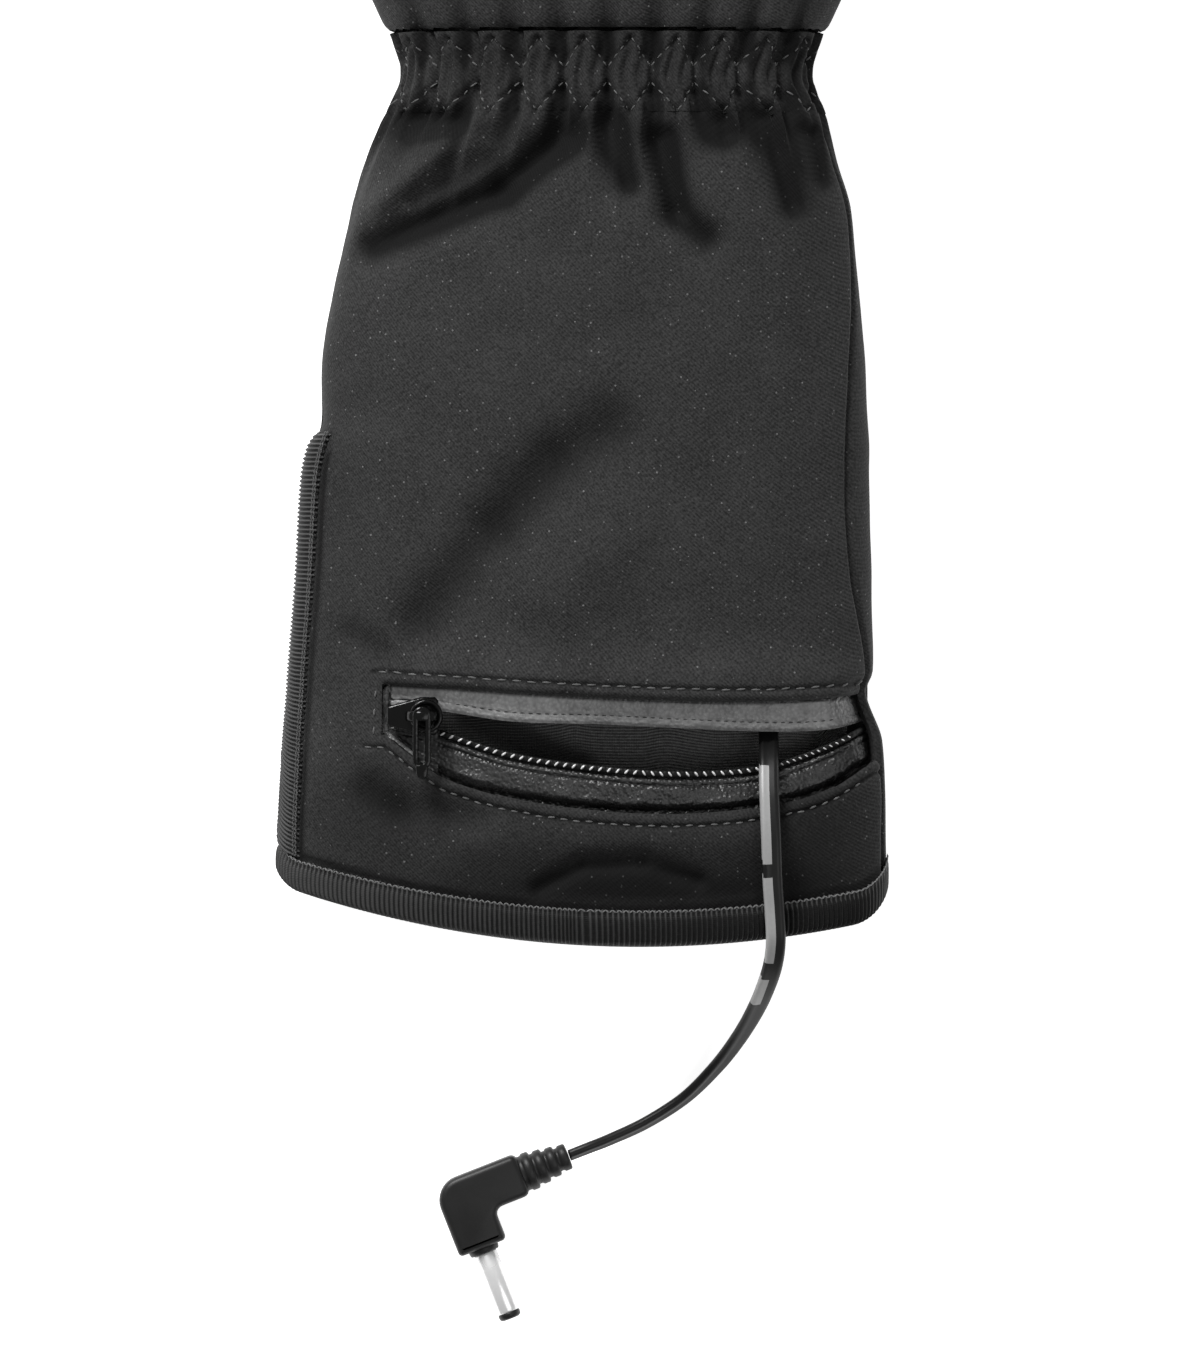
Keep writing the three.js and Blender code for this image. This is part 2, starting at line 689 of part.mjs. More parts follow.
// Zip slider: a body with a bridge along it, and a pull whose eye goes round the bridge
const sliderY = mouthTop - sliderWidth / 2 - 1.9;
const sliderTop = topPoint(sliderX, sliderY, 0).z + sliderProud;
const bridgeZ = sliderTop + bridgeRise;
const bridgeX = sliderX + 1.4;

function box(x, y, z, width, depth, height) {
  return new THREE.BoxGeometry(width, depth, height).translate(x, y, z);
}

function slider() {
  const outline = new THREE.Shape();
  const half = sliderWidth / 2;
  const nose = sliderLength / 2;
  outline.moveTo(-nose, -half * 0.55);
  outline.lineTo(nose * 0.2, -half);
  outline.lineTo(nose, -half * 0.9);
  outline.lineTo(nose, half * 0.9);
  outline.lineTo(nose * 0.2, half);
  outline.lineTo(-nose, half * 0.55);
  const edge = 0.4;
  const body = new THREE.ExtrudeGeometry(outline, {
    depth: sliderThick - 2 * edge, bevelThickness: edge, bevelSize: edge, bevelOffset: -edge, bevelSegments: 1,
  }).translate(sliderX, sliderY, sliderTop - sliderThick + edge);
  const leg = (x) => box(x, sliderY, (bridgeZ + sliderTop) / 2, bridgeThick, bridgeThick,
    bridgeRise + bridgeThick);
  const bar = box(bridgeX, sliderY, bridgeZ, bridgeSpan + bridgeThick, bridgeThick, bridgeThick);
  const legs = [bridgeX - bridgeSpan / 2, bridgeX + bridgeSpan / 2].map((x) => toSolid(leg(x)));
  return fromSolid(toSolid(body).add(legs[0]).add(legs[1]).add(toSolid(bar)));
}

function pull() {
  const eyeRadius = bridgeThick * Math.SQRT1_2 + clearance;
  const outside = eyeRadius + eyeWall;
  const shape = new THREE.Shape();
  shape.absarc(0, 0, outside, 0, 2 * Math.PI);
  const hole = new THREE.Path();
  hole.absarc(0, 0, eyeRadius, 0, 2 * Math.PI, true);
  shape.holes.push(hole);
  const eye = new THREE.ExtrudeGeometry(shape, { depth: pullWidth, bevelEnabled: false, curveSegments: 7 })
    .translate(0, 0, -pullWidth / 2)
    .rotateY(quarter);
  const barLength = pullLength - eyeRadius - eyeWall / 2;
  const bar = box(0, -(eyeRadius + eyeWall / 2 + barLength / 2), 0, pullWidth, barLength, pullThick);
  return fromSolid(toSolid(eye).add(toSolid(bar)));
}

// Lead, its gland and its plug
const glandRadius = leadDiameter / 2 + 0.4;

function lathed(profile, sides) {
  return new THREE.LatheGeometry(profile.map(([r, y]) => new THREE.Vector2(r, y)), sides);
}

function lead() {
  const outline = new THREE.Shape(Array.from({ length: 8 }, (_, i) => {
    const angle = ((i + 0.5) / 8) * 2 * Math.PI;
    return new THREE.Vector2(Math.cos(angle), Math.sin(angle)).multiplyScalar(leadDiameter / 2);
  }));
  const path = new THREE.CatmullRomCurve3(leadRoute.map((p) => new THREE.Vector3(...p)));
  return new THREE.ExtrudeGeometry(outline, { steps: 26, extrudePath: path, curveSegments: 1 });
}

function gland() {
  const [x, y, z] = leadRoute[0];
  const face = glandRadius * 0.75;
  return lathed([[0, 0], [face, 0], [glandRadius, glandLength * 0.4], [glandRadius, glandLength], [0, glandLength]], 10)
    .translate(x, y + clearance, z);
}

function plugBody() {
  const left = -plugLegWidth / 2 + plugEdge;
  const right = plugBodyReach - plugEdge;
  const top = plugThick / 2 - plugEdge;
  const inner = plugLegWidth / 2 - plugEdge;
  const bottom = -plugLegReach + plugEdge;
  const outline = new THREE.Shape();
  outline.moveTo(right, top);
  outline.lineTo(left + plugCorner, top);
  outline.absarc(left + plugCorner, top - plugCorner, plugCorner, quarter, 2 * quarter);
  outline.lineTo(left, bottom);
  outline.lineTo(inner, bottom);
  outline.lineTo(inner, -top - plugCorner / 2);
  outline.lineTo(inner + plugCorner / 2, -top);
  outline.lineTo(right, -top);
  const block = new THREE.ExtrudeGeometry(outline, {
    depth: plugThick - 2 * plugEdge, bevelThickness: plugEdge, bevelSize: plugEdge, bevelSegments: 1,
    curveSegments: 4,
  }).translate(0, 0, -plugThick / 2 + plugEdge);

  const rib = reliefLength / reliefRibs;
  const profile = [[0, 0]];
  for (let i = 0; i < reliefRibs; i += 1) {
    const radius = reliefRoot + (reliefEnd - reliefRoot) * ((i + 0.5) / reliefRibs);
    profile.push([radius - reliefGroove, i * rib], [radius - reliefGroove, (i + 0.3) * rib]);
    profile.push([radius, (i + 0.42) * rib], [radius, (i + 0.88) * rib]);
  }
  profile.push([reliefEnd * 0.8, reliefLength], [0, reliefLength]);
  const relief = lathed(profile, 14).rotateZ(-quarter).translate(right + plugEdge - 0.2, 0, 0);
  const collar = lathed([[0, 0], [collarRadius, 0], [collarRadius, collarLength + 1], [0, collarLength + 1]], 14)
    .translate(0, bottom - plugEdge - collarLength, 0);
  return fromSolid(toSolid(block).add(toSolid(relief)).add(toSolid(collar)));
}

function sleeve(length, from) {
  return lathed([[sleeveBore, 0], [sleeveRadius, 0], [sleeveRadius, length], [sleeveBore, length], [sleeveBore, 0]], 16)
    .translate(0, from - length, 0);
}

// Assembly
piece('cuff_front_panel', cloth, fromSolid(toSolid(frontPanel()).subtract(toSolid(mouthCut()))));
piece('cuff_back_panel', cloth, backPanel());
piece('wrist_gathers', cloth, wrist());
piece('hand_shell', cloth, handWithThumbHole());
piece('thumb', cloth, thumb());

const fingersWide = handWidth - 4 * clearance;
let fingerX = -handWidth / 2 + clearance;
for (const row of fingerTable) {
  const width = row.width * fingersWide;
  const lean = row.lean * fingerReach;
  const mesh = piece(row.name, cloth, finger(width, row.height * handHeight, row.length * fingerReach, lean, 12));
  mesh.position.set(fingerX + width / 2, handEnd + clearance, 0);
  fingerX += width + clearance;
}

piece('binding_hem', ribbon, hemBinding());
piece('binding_vent_front', ribbon, ventBinding(true));
piece('binding_vent_back', ribbon, ventBinding(false));

const upperEdge = (column, offset) => (x) => mouthEdge(x, column) + offset;
piece('zip_tape_upper', coated,
  strip(tapeLeft, tapeRight, 13, upperEdge('foldAbove', tapeLap), upperEdge('tapeAbove', 0), tapeDepth, tapeThick));
piece('zip_tape_lower', coated,
  strip(tapeLeft, tapeRight, 13, upperEdge('tapeBelow', 0), upperEdge('foldBelow', -tapeLap), tapeDepth, tapeThick));
piece('zip_coil_upper', coil,
  strip(tapeLeft, tapeRight, 13, upperEdge('tapeAbove', coilWidth + clearance), upperEdge('tapeAbove', clearance),
    tapeDepth + tapeThick + clearance, coilThick));
piece('zip_coil_lower', coil,
  strip(tapeLeft, tapeRight, 13, upperEdge('tapeBelow', coilWidth + clearance), upperEdge('tapeBelow', clearance),
    tapeDepth, coilThick));
piece('pocket_bag', knit, pocketBag());

piece('zip_slider', gloss, slider());
piece('zip_pull', gloss, pull()).position.set(bridgeX, sliderY, bridgeZ);

piece('lead_gland', vinyl, gland());
piece('lead', vinyl, lead());

const plug = new THREE.Group();
plug.position.set(plugX, plugY, plugThick / 2 + plugLift);
plug.rotation.z = THREE.MathUtils.degToRad(plugTurn);
glove.add(plug);
const sleeveTop = -plugLegReach - collarLength - clearance;
piece('plug_body', vinyl, plugBody(), plug);
piece('plug_sleeve', chrome, sleeve(sleeveLength, sleeveTop), plug);
piece('plug_tip', vinyl, sleeve(tipLength, sleeveTop - sleeveLength - clearance), plug);

export default glove;
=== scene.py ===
import math

import bpy
import numpy as np
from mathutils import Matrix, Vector, noise


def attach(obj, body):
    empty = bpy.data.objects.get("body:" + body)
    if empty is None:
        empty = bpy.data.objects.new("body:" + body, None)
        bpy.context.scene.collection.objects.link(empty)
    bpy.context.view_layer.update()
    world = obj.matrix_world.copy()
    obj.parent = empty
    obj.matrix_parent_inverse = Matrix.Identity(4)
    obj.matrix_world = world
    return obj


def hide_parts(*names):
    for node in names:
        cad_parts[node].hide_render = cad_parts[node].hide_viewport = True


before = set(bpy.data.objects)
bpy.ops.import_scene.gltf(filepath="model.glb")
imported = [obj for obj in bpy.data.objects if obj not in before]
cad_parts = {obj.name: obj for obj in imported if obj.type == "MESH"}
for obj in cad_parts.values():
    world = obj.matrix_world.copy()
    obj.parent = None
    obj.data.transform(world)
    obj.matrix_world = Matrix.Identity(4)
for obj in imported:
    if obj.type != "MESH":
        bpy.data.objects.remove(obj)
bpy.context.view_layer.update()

mm = 0.001
quarter = math.pi / 2
turn = 2 * math.pi

# Camera, straight above as the picture was taken

view = {"pictureHigh": 0.2029, "middleX": 0.0, "middleY": -0.0245, "gloveTop": 0.012, "distance": 2.4}
bpy.ops.object.select_all(action="DESELECT")
bpy.ops.object.camera_add(location=(view["middleX"], view["middleY"], view["distance"]), rotation=(0, 0, 0))
camera = bpy.context.object
camera.data.lens = 36 * (view["distance"] - view["gloveTop"]) / view["pictureHigh"]  # 36 mm is the long side
bpy.context.scene.camera = camera
bpy.context.scene.view_settings.view_transform = "Standard"


class Wire:  # a socket that adds Math nodes when it is used in a sum
    def __init__(self, tree, socket=None):
        self.tree = tree
        self.socket = socket

    def node(self, kind, settings=None, sockets=None, out=0):
        made = self.tree.nodes.new("ShaderNode" + kind)
        for key, value in (settings or {}).items():
            setattr(made, key, value)
        for key, value in (sockets or {}).items():
            if isinstance(value, Wire):
                self.tree.links.new(value.socket, made.inputs[key])
            else:
                made.inputs[key].default_value = value
        return Wire(self.tree, made.outputs[out])

    def calculate(self, operation, *values):
        return self.node("Math", {"operation": operation}, dict(enumerate(values)))

    def __add__(self, other):
        return self.calculate("ADD", self, other)

    __radd__ = __add__

    def __sub__(self, other):
        return self.calculate("SUBTRACT", self, other)

    def __rsub__(self, other):
        return self.calculate("SUBTRACT", other, self)

    def __mul__(self, other):
        return self.calculate("MULTIPLY", self, other)

    __rmul__ = __mul__

    def __gt__(self, other):
        return self.calculate("GREATER_THAN", self, other)

    def __lt__(self, other):
        return self.calculate("LESS_THAN", self, other)

    def sine(self):
        return self.calculate("SINE", self)

    def colour(self, low, high):  # this share of the way from one colour to another
        return self.node("Mix", {"data_type": "RGBA"}, {0: self, 6: low, 7: high}, 2)


def grey(level):
    return (level, level, level, 1)


def finish(name, fixed, build):  # fixed goes on the shader's own sockets, build gives what varies
    made = bpy.data.materials.new(name)
    made.use_nodes = True
    tree = made.node_tree
    shader = tree.nodes["Principled BSDF"]
    for key, value in fixed.items():
        shader.inputs[key].default_value = value
    for key, value in build(Wire(tree)).items():
        tree.links.new(value.socket, shader.inputs[key])
    return made


def noiseAt(start, place, size, detail=3.0, rough=0.5):  # size in metres
    sockets = {"Vector": place, "Scale": 1 / size, "Detail": detail, "Roughness": rough}
    return start.node("TexNoise", None, sockets)


def ownPlace(start):
    return start.node("TexCoord", out="Object")


def axesOf(start, place):
    return [start.node("SeparateXYZ", None, {0: place}, axis) for axis in range(3)]


# reads the painted shade attribute, which darkens colour where shade falls
def paintedShadeOf(start):
    return start.node("Attribute", {"attribute_name": "painted_shade"}, None, "Fac")


def bump(start, height, strength, distance):
    return start.node("Bump", None, {"Strength": strength, "Distance": distance, "Height": height})


# Floor and light

studio = {"floorWide": 6.0, "floorTone": 0.9, "floorGlow": 0.8, "worldTone": 0.3}
lamps = [
    {"name": "key", "at": (-0.75, 1.45, 1.15), "size": 0.7, "power": 52},
    {"name": "fill", "at": (0.9, -0.5, 1.9), "size": 1.2, "power": 8},
]


def floorLook(start):
    place = ownPlace(start)
    return {"Roughness": noiseAt(start, place, 0.05) * 0.2 + 0.7}


bpy.ops.mesh.primitive_plane_add(size=studio["floorWide"], location=(0, 0, -0.0002))
floor = bpy.context.object
floor.name = "floor"
glow = {"Base Color": grey(studio["floorTone"]), "Emission Color": grey(1.0),
        "Emission Strength": studio["floorGlow"]}
floor.data.materials.append(finish("paper_floor", glow, floorLook))

world = bpy.data.worlds.new("studio")
world.use_nodes = True
world.node_tree.nodes["Background"].inputs["Color"].default_value = grey(1.0)
world.node_tree.nodes["Background"].inputs["Strength"].default_value = studio["worldTone"]
bpy.context.scene.world = world

for lamp in lamps:
    bpy.ops.object.light_add(type="AREA", location=lamp["at"])
    light = bpy.context.object
    light.name = lamp["name"]
    light.data.size = lamp["size"]
    light.data.energy = lamp["power"]
    aim = Vector((0, -0.02, 0)) - Vector(lamp["at"])
    light.rotation_euler = aim.to_track_quat("-Z", "Y").to_euler()
print("stage: camera, floor and light")

# Working functions, in millimetres


mergeDoubles = (bpy.ops.mesh.remove_doubles, {"threshold": 1e-6})
facesOut = (bpy.ops.mesh.normals_make_consistent, {"inside": False})


def select(piece):
    bpy.ops.object.select_all(action="DESELECT")
    piece.select_set(True)
    bpy.context.view_layer.objects.active = piece


def spotsOf(mesh):
    spots = np.empty(len(mesh.vertices) * 3)
    mesh.vertices.foreach_get("co", spots)
    return spots.reshape(-1, 3)


def moveSpots(mesh, spots):
    mesh.vertices.foreach_set("co", np.ascontiguousarray(spots).ravel())
    mesh.update()


def setFlat(mesh, flat):
    corners = np.empty(len(mesh.loops), dtype=int)
    mesh.loops.foreach_get("vertex_index", corners)
    mesh.uv_layers.active.data.foreach_set("uv", flat[corners].ravel())


def runLength(table, axis):
    steps = np.linalg.norm(np.diff(table, axis=axis), axis=2)
    pad = [(0, 0), (0, 0)]
    pad[axis] = (1, 0)
    return np.pad(np.cumsum(steps, axis=axis), pad)


def gridPiece(name, columns, rows, place, around=False, flat=None, shade=None):
    bpy.ops.object.select_all(action="DESELECT")
    bpy.ops.mesh.primitive_grid_add(x_subdivisions=columns, y_subdivisions=rows, size=1)
    piece = bpy.context.object
    piece.name = piece.data.name = name
    across, up = (spotsOf(piece.data)[:, :2] + 0.5).T
    points = np.stack(np.broadcast_arrays(*place(across, up)), axis=1)
    moveSpots(piece.data, points * mm)
    if flat is None:
        column, row = np.rint(across * columns).astype(int), np.rint(up * rows).astype(int)
        table = np.zeros((rows + 1, columns + 1, 3))
        table[row, column] = points
        lengths = np.stack([runLength(table, 1), runLength(table, 0)], axis=2)
        setFlat(piece.data, lengths[row, column])
    else:
        setFlat(piece.data, np.stack(np.broadcast_arrays(*flat(across, up)), axis=1))
    # shade gives painted shade, stored in an attribute that darkens the colour
    if shade is not None:
        piece.data.attributes.new("painted_shade", "FLOAT", "POINT").data.foreach_set("value", shade(*points.T))
    if around:
        editAll(mergeDoubles)
    bpy.ops.object.shade_smooth()
    return piece


def closeEnds(piece):
    select(piece)
    editAll(mergeDoubles, (bpy.ops.mesh.fill_holes, {"sides": 0}), facesOut)


def editAll(*steps):
    bpy.ops.object.mode_set(mode="EDIT")
    for step, settings in steps:
        bpy.ops.mesh.select_all(action="SELECT")
        step(**settings)
    bpy.ops.object.mode_set(mode="OBJECT")


def modify(piece, kind, **settings):
    select(piece)
    bpy.ops.object.modifier_add(type=kind)
    added = piece.modifiers[-1]
    for key, value in settings.items():
        setattr(added, key, value)
    bpy.ops.object.modifier_apply(modifier=added.name)


def ride(piece, material, slot, *nodes, body="glove"):
    if not piece.data.materials:
        piece.data.materials.append(material)
    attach(piece, body)
    if nodes:
        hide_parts(*nodes)


def thicken(piece, wall):
    modify(piece, "SOLIDIFY", thickness=wall * mm, offset=-1, use_even_offset=False)
    # the rim's corner stays crisp, so that two cloths meet without a line of tilted light
    bpy.ops.object.shade_smooth_by_angle(angle=1.2)


def tubePiece(name, path, section, sides, turned=None, closed=False):
    # section(angle) gives across and up, turned gives the section's turn at each point of the path
    path = np.asarray(path, float)
    ahead = np.gradient(path, axis=0) if not closed else np.roll(path, -1, 0) - np.roll(path, 1, 0)
    ahead /= np.linalg.norm(ahead, axis=1)[:, None]
    side = np.cross(ahead, (0, 0, 1.0))
    side /= np.maximum(np.linalg.norm(side, axis=1), 1e-6)[:, None]
    up = np.cross(side, ahead)
    turned = np.zeros(len(path)) if turned is None else np.asarray(turned)
    count = len(path)

    def place(u, v):
        row = np.rint(v * (count if closed else count - 1)).astype(int) % count
        across, high = section(u * turn, row)
        cos, sin = np.cos(turned[row]), np.sin(turned[row])
        right, top = across * cos - high * sin, across * sin + high * cos
        return (path[row] + side[row] * right[:, None] + up[row] * top[:, None]).T

    rows = count if closed else count - 1
    piece = gridPiece(name, sides, rows, place, around=True)
    closeEnds(piece)
    return piece


def lathePiece(name, profile, sides, place):
    # profile: radius and distance along; place turns local x, y, z into the glove's
    radius, along = np.array(profile, float).T

    def spot(u, v):
        row = np.rint(v * (len(radius) - 1)).astype(int)
        return place(radius[row] * np.cos(u * turn), along[row], radius[row] * np.sin(u * turn))

    piece = gridPiece(name, sides, len(radius) - 1, spot, around=True)
    closeEnds(piece)
    return piece


def scatterPiece(name, template, frames):
    # frames: a place and three scaled axes for each copy
    base = spotsOf(template.data) / mm
    faces = [list(face.vertices) for face in template.data.polygons]
    frames = np.asarray(frames)
    points = frames[:, None, 0] + np.einsum("mk,nkj->nmj", base, frames[:, 1:])
    count = len(base)
    everyFace = [[corner + copy * count for corner in face] for copy in range(len(frames)) for face in faces]
    mesh = bpy.data.meshes.new(name)
    mesh.from_pydata((points.reshape(-1, 3) * mm).tolist(), [], everyFace)
    mesh.update()
    piece = bpy.data.objects.new(name, mesh)
    bpy.context.collection.objects.link(piece)
    select(piece)
    bpy.ops.object.shade_smooth()
    return piece


def hill(value, width):
    return np.exp(-(value / width) ** 2)


def rounded(radius, into):  # how far a quarter round has dropped
    return radius - np.sqrt(radius ** 2 - into ** 2)


def awayFromLine(x, y, x0, y0, x1, y1):
    dx, dy = x1 - x0, y1 - y0
    t = np.clip(((x - x0) * dx + (y - y0) * dy) / (dx * dx + dy * dy), 0, 1)
    return np.hypot(x - x0 - t * dx, y - y0 - t * dy)


def wrinkle(x, y, size, seed):
    return np.array([noise.noise(Vector((a / size, b / size, seed))) for a, b in zip(x, y)])


def smooth(value, low, high):
    t = np.clip((value - low) / (high - low), 0, 1)
    return t * t * (3 - 2 * t)


def along(rows, at, column):
    places, values = np.array(rows["at"], float), np.array(rows[column], float)
    last = len(places) - 1
    a = np.clip(np.searchsorted(places, at) - 1, 0, last - 1)
    b, before, after = a + 1, np.maximum(a - 1, 0), np.minimum(a + 2, last)
    span = places[b] - places[a]
    t = np.clip((at - places[a]) / span, 0, 1)
    slopeA = (values[b] - values[before]) / (places[b] - places[before])
    slopeB = (values[after] - values[a]) / (places[after] - places[a])
    bend = t * (1 - t) * span * ((1 - t) * slopeA - t * slopeB)
    return values[a] + (values[b] - values[a]) * t * t * (3 - 2 * t) + bend


shape = {"topRoundness": 2.4, "soleRoundness": 3.6, "middleShare": 0.45, "soleSink": 0.8}


def sectionAt(rows, at, width, height, y):
    ring = {"y": y, "floor": 0.0, "height": along(rows, at, "height") * height}
    ring["left"], ring["right"] = along(rows, at, "left") * width, along(rows, at, "right") * width
    return ring


def sectionPoint(ring, angle, depth):
    side, up = np.sin(angle), np.cos(angle)
    power = np.where(up >= 0, 2 / shape["topRoundness"], 2 / shape["soleRoundness"])
    middle = ring["height"] * shape["middleShare"]
    reach = np.where(up >= 0, ring["height"] - middle, middle + shape["soleSink"]) - depth
    half = (ring["right"] - ring["left"]) / 2 - depth
    x = (ring["right"] + ring["left"]) / 2 + half * np.sign(side) * np.abs(side) ** power
    z = middle + reach * np.sign(up) * np.abs(up) ** power
    return x, np.maximum(z, ring["floor"] + depth)


def angleOfX(ring, x, depth):
    half = (ring["right"] - ring["left"]) / 2 - depth
    share = np.clip((x - (ring["right"] + ring["left"]) / 2) / half, -1, 1)
    return np.sign(share) * np.arcsin(np.abs(share) ** (shape["topRoundness"] / 2))


def evenAngles(ring, low, high, count=400):
    # shares of the way round from low to high, at even distances along the section
    angles = np.linspace(low, high, count)
    x, z = sectionPoint(ring, angles, 0)
    run = np.concatenate([[0], np.cumsum(np.hypot(np.diff(x), np.diff(z)))])
    return run / run[-1], (angles - low) / (high - low), run[-1]


# Materials

# deep is the colour that painted shade darkens the cloth towards
cloth = {"tone": 0.013, "worn": 0.042, "deep": 0.0022, "twill": 0.0006, "lintCell": 0.0012, "lintSize": 0.12,
         "lintTone": 0.15}


def clothLook(start):
    place = ownPlace(start)
    x, y, z = axesOf(start, place)
    ribs = ((x + y + z * 0.8) * (turn / cloth["twill"])).sine()
    weft = ((x - y * 1.4) * (turn / cloth["twill"] * 0.43)).sine()
    fuzz = noiseAt(start, place, 0.00035, 2.0)
    cloud = noiseAt(start, place, 0.011, 4.0)
    cell = {"Vector": place, "Scale": 1 / cloth["lintCell"]}
    near = start.node("TexVoronoi", None, cell, "Distance")
    pick = start.node("SeparateColor", None, {0: start.node("TexVoronoi", None, cell, "Color")})
    lint = (near < cloth["lintSize"]) * (pick > 0.35) * pick
    # painted shade: the attribute darkens the cloth in folds, hollows, seams and near the floor, and the lint fades
    # there
    painted_shade = paintedShadeOf(start)
    lit = (cloud * 0.7 + fuzz * 2.3 + ribs * 0.16 - 1.0).colour(grey(cloth["tone"]), grey(cloth["worn"]))
    base = painted_shade.colour(lit, grey(cloth["deep"]))
    return {
        "Base Color": (lint * (1 - painted_shade * 0.8)).colour(base, grey(cloth["lintTone"])),
        "Roughness": cloud * 0.15 + 0.74,
        "Normal": bump(start, ribs * 0.30 + weft * 0.16 + fuzz * 0.9, 0.5, 0.00012),
    }


clothFixed = {"Sheen Weight": 0.03, "Sheen Roughness": 0.5, "Specular IOR Level": 0.14}
softshell = finish("softshell", clothFixed, clothLook)

# valley and ridge: the colours of the ribs' painted shade and painted highlight
ribbon = {"valleyShaded": 0.001, "ridge": 0.056}


def ribbonLook(start):
    # the tape's own map: one unit along is one rib, across is in millimetres
    flat = start.node("UVMap")
    along, across = axesOf(start, flat)[:2]
    rib = (along * turn).sine() * 0.5 + 0.5
    thread = (across * (turn / 0.33)).sine()
    place = ownPlace(start)
    fuzz = noiseAt(start, place, 0.0005, 3.0)
    cloud = noiseAt(start, place, 0.006, 3.0)
    # random tone, with the rib tops painted lighter as painted highlight and the valleys painted darker as painted
    # shade
    tone = rib * rib * rib * (cloud * 0.9 + 0.6) + fuzz * 0.3 - 0.16
    return {
        "Base Color": tone.colour(grey(ribbon["valleyShaded"]), grey(ribbon["ridge"])),
        "Roughness": fuzz * 0.2 + 0.5,
        "Normal": bump(start, thread * 0.25 + fuzz * 0.8 + rib * 0.6, 0.5, 0.0001),
    }


binding = finish("ribbed_binding", {"Sheen Weight": 0.03, "Specular IOR Level": 0.18}, ribbonLook)

coated = {"low": 0.19, "high": 0.5, "grain": 0.0005}


# shade scales the tone, so one coated tape comes as copies painted lit or painted in shade; the painted shade
# attribute darkens it further
def coatedLook(shade):
    def build(start):
        place = ownPlace(start)
        grain = start.node("TexVoronoi", {"feature": "SMOOTH_F1"}, {"Vector": place, "Scale": 1 / coated["grain"]})
        mottle = noiseAt(start, place, 0.0028, 5.0, 0.65)
        painted_shade = paintedShadeOf(start)
        tone = mottle * 1.3 - grain * 0.7 + 0.1
        lit = tone.colour(grey(coated["low"] * shade), grey(coated["high"] * shade))
        return {
            "Base Color": painted_shade.colour(lit, grey(0.001)),
            "Roughness": mottle * 0.25 + 0.27,
            "Normal": bump(start, mottle * 1.4 - grain * 1.1, 0.7, 0.0003),
        }
    return build


# the same coated tape twice: the upper copy painted lit, the lower copy painted in shade
paintedLitTape = finish("coated_tape", {"Specular IOR Level": 0.5}, coatedLook(1.0))
paintedShadedTape = finish("coated_tape_shaded", {"Specular IOR Level": 0.55}, coatedLook(0.07))


def knitLook(start):
    flat = start.node("UVMap")
    along, across = axesOf(start, flat)[:2]
    ribs = (across * (turn / 0.46)).sine()
    loops = (along * (turn / 0.36)).sine()
    place = ownPlace(start)
    fuzz = noiseAt(start, place, 0.0006, 3.0)
    tone = ribs * 0.35 + fuzz * 0.9 - 0.1
    # shade is the painted shade attribute: the lining is painted darker where shade falls in the bag
    shade = paintedShadeOf(start)
    return {
        "Base Color": shade.colour(tone.colour(grey(0.035), grey(0.21)), grey(0.001)),
        "Roughness": fuzz * 0.1 + 0.85,
        "Normal": bump(start, ribs + loops * 0.3 + fuzz * 0.6, 0.8, 0.0002),
    }


knit = finish("knit_lining", {"Sheen Weight": 0.2}, knitLook)


def mouldedLook(low, high, rough, size, depth):
    def build(start):
        place = ownPlace(start)
        grain = noiseAt(start, place, size, 4.0, 0.6)
        cloud = noiseAt(start, place, 0.006, 3.0)
        return {
            "Base Color": (cloud * 0.7 + grain * 0.5 - 0.1).colour(grey(low), grey(high)),
            "Roughness": cloud * 0.2 + rough,
            "Normal": bump(start, grain, 0.3, depth),
        }
    return build


enamel = finish("black_enamel", {"Specular IOR Level": 0.3}, mouldedLook(0.001, 0.003, 0.03, 0.0009, 0.00022))
coilNylon = finish("nylon_coil", {"Specular IOR Level": 0.2}, mouldedLook(0.002, 0.006, 0.4, 0.0006, 0.00004))
# the teeth are painted pale on the black nylon coil: painted glints
paintedGlintTeeth = finish("nylon_teeth_painted_glints", {"Specular IOR Level": 0.8}, mouldedLook(0.45, 0.8, 0.1, 0.0006, 0.00004))
vinyl = finish("moulded_vinyl", {"Specular IOR Level": 0.3}, mouldedLook(0.006, 0.014, 0.34, 0.0004, 0.00003))
leadSkin = finish("lead_vinyl", {"Specular IOR Level": 0.25}, mouldedLook(0.004, 0.01, 0.3, 0.0004, 0.00003))
leadLight = finish("lead_vinyl_light", {"Specular IOR Level": 0.5}, mouldedLook(0.22, 0.34, 0.3, 0.0004, 0.00003))
chrome = finish("bright_nickel", {"Metallic": 0.5}, mouldedLook(0.8, 0.95, 0.16, 0.002, 0.00002))
thread = finish("sewing_thread", {"Sheen Weight": 0.3}, mouldedLook(0.03, 0.115, 0.5, 0.0003, 0.00008))
darkThread = finish("dark_thread", {"Sheen Weight": 0.3}, mouldedLook(0.012, 0.045, 0.55, 0.0003, 0.00008))
selvedgeThread = finish("selvedge_thread", {"Sheen Weight": 0.3}, mouldedLook(0.05, 0.18, 0.5, 0.0003, 0.00008))
print("materials")

# The lead and its plug, at the places the solids have

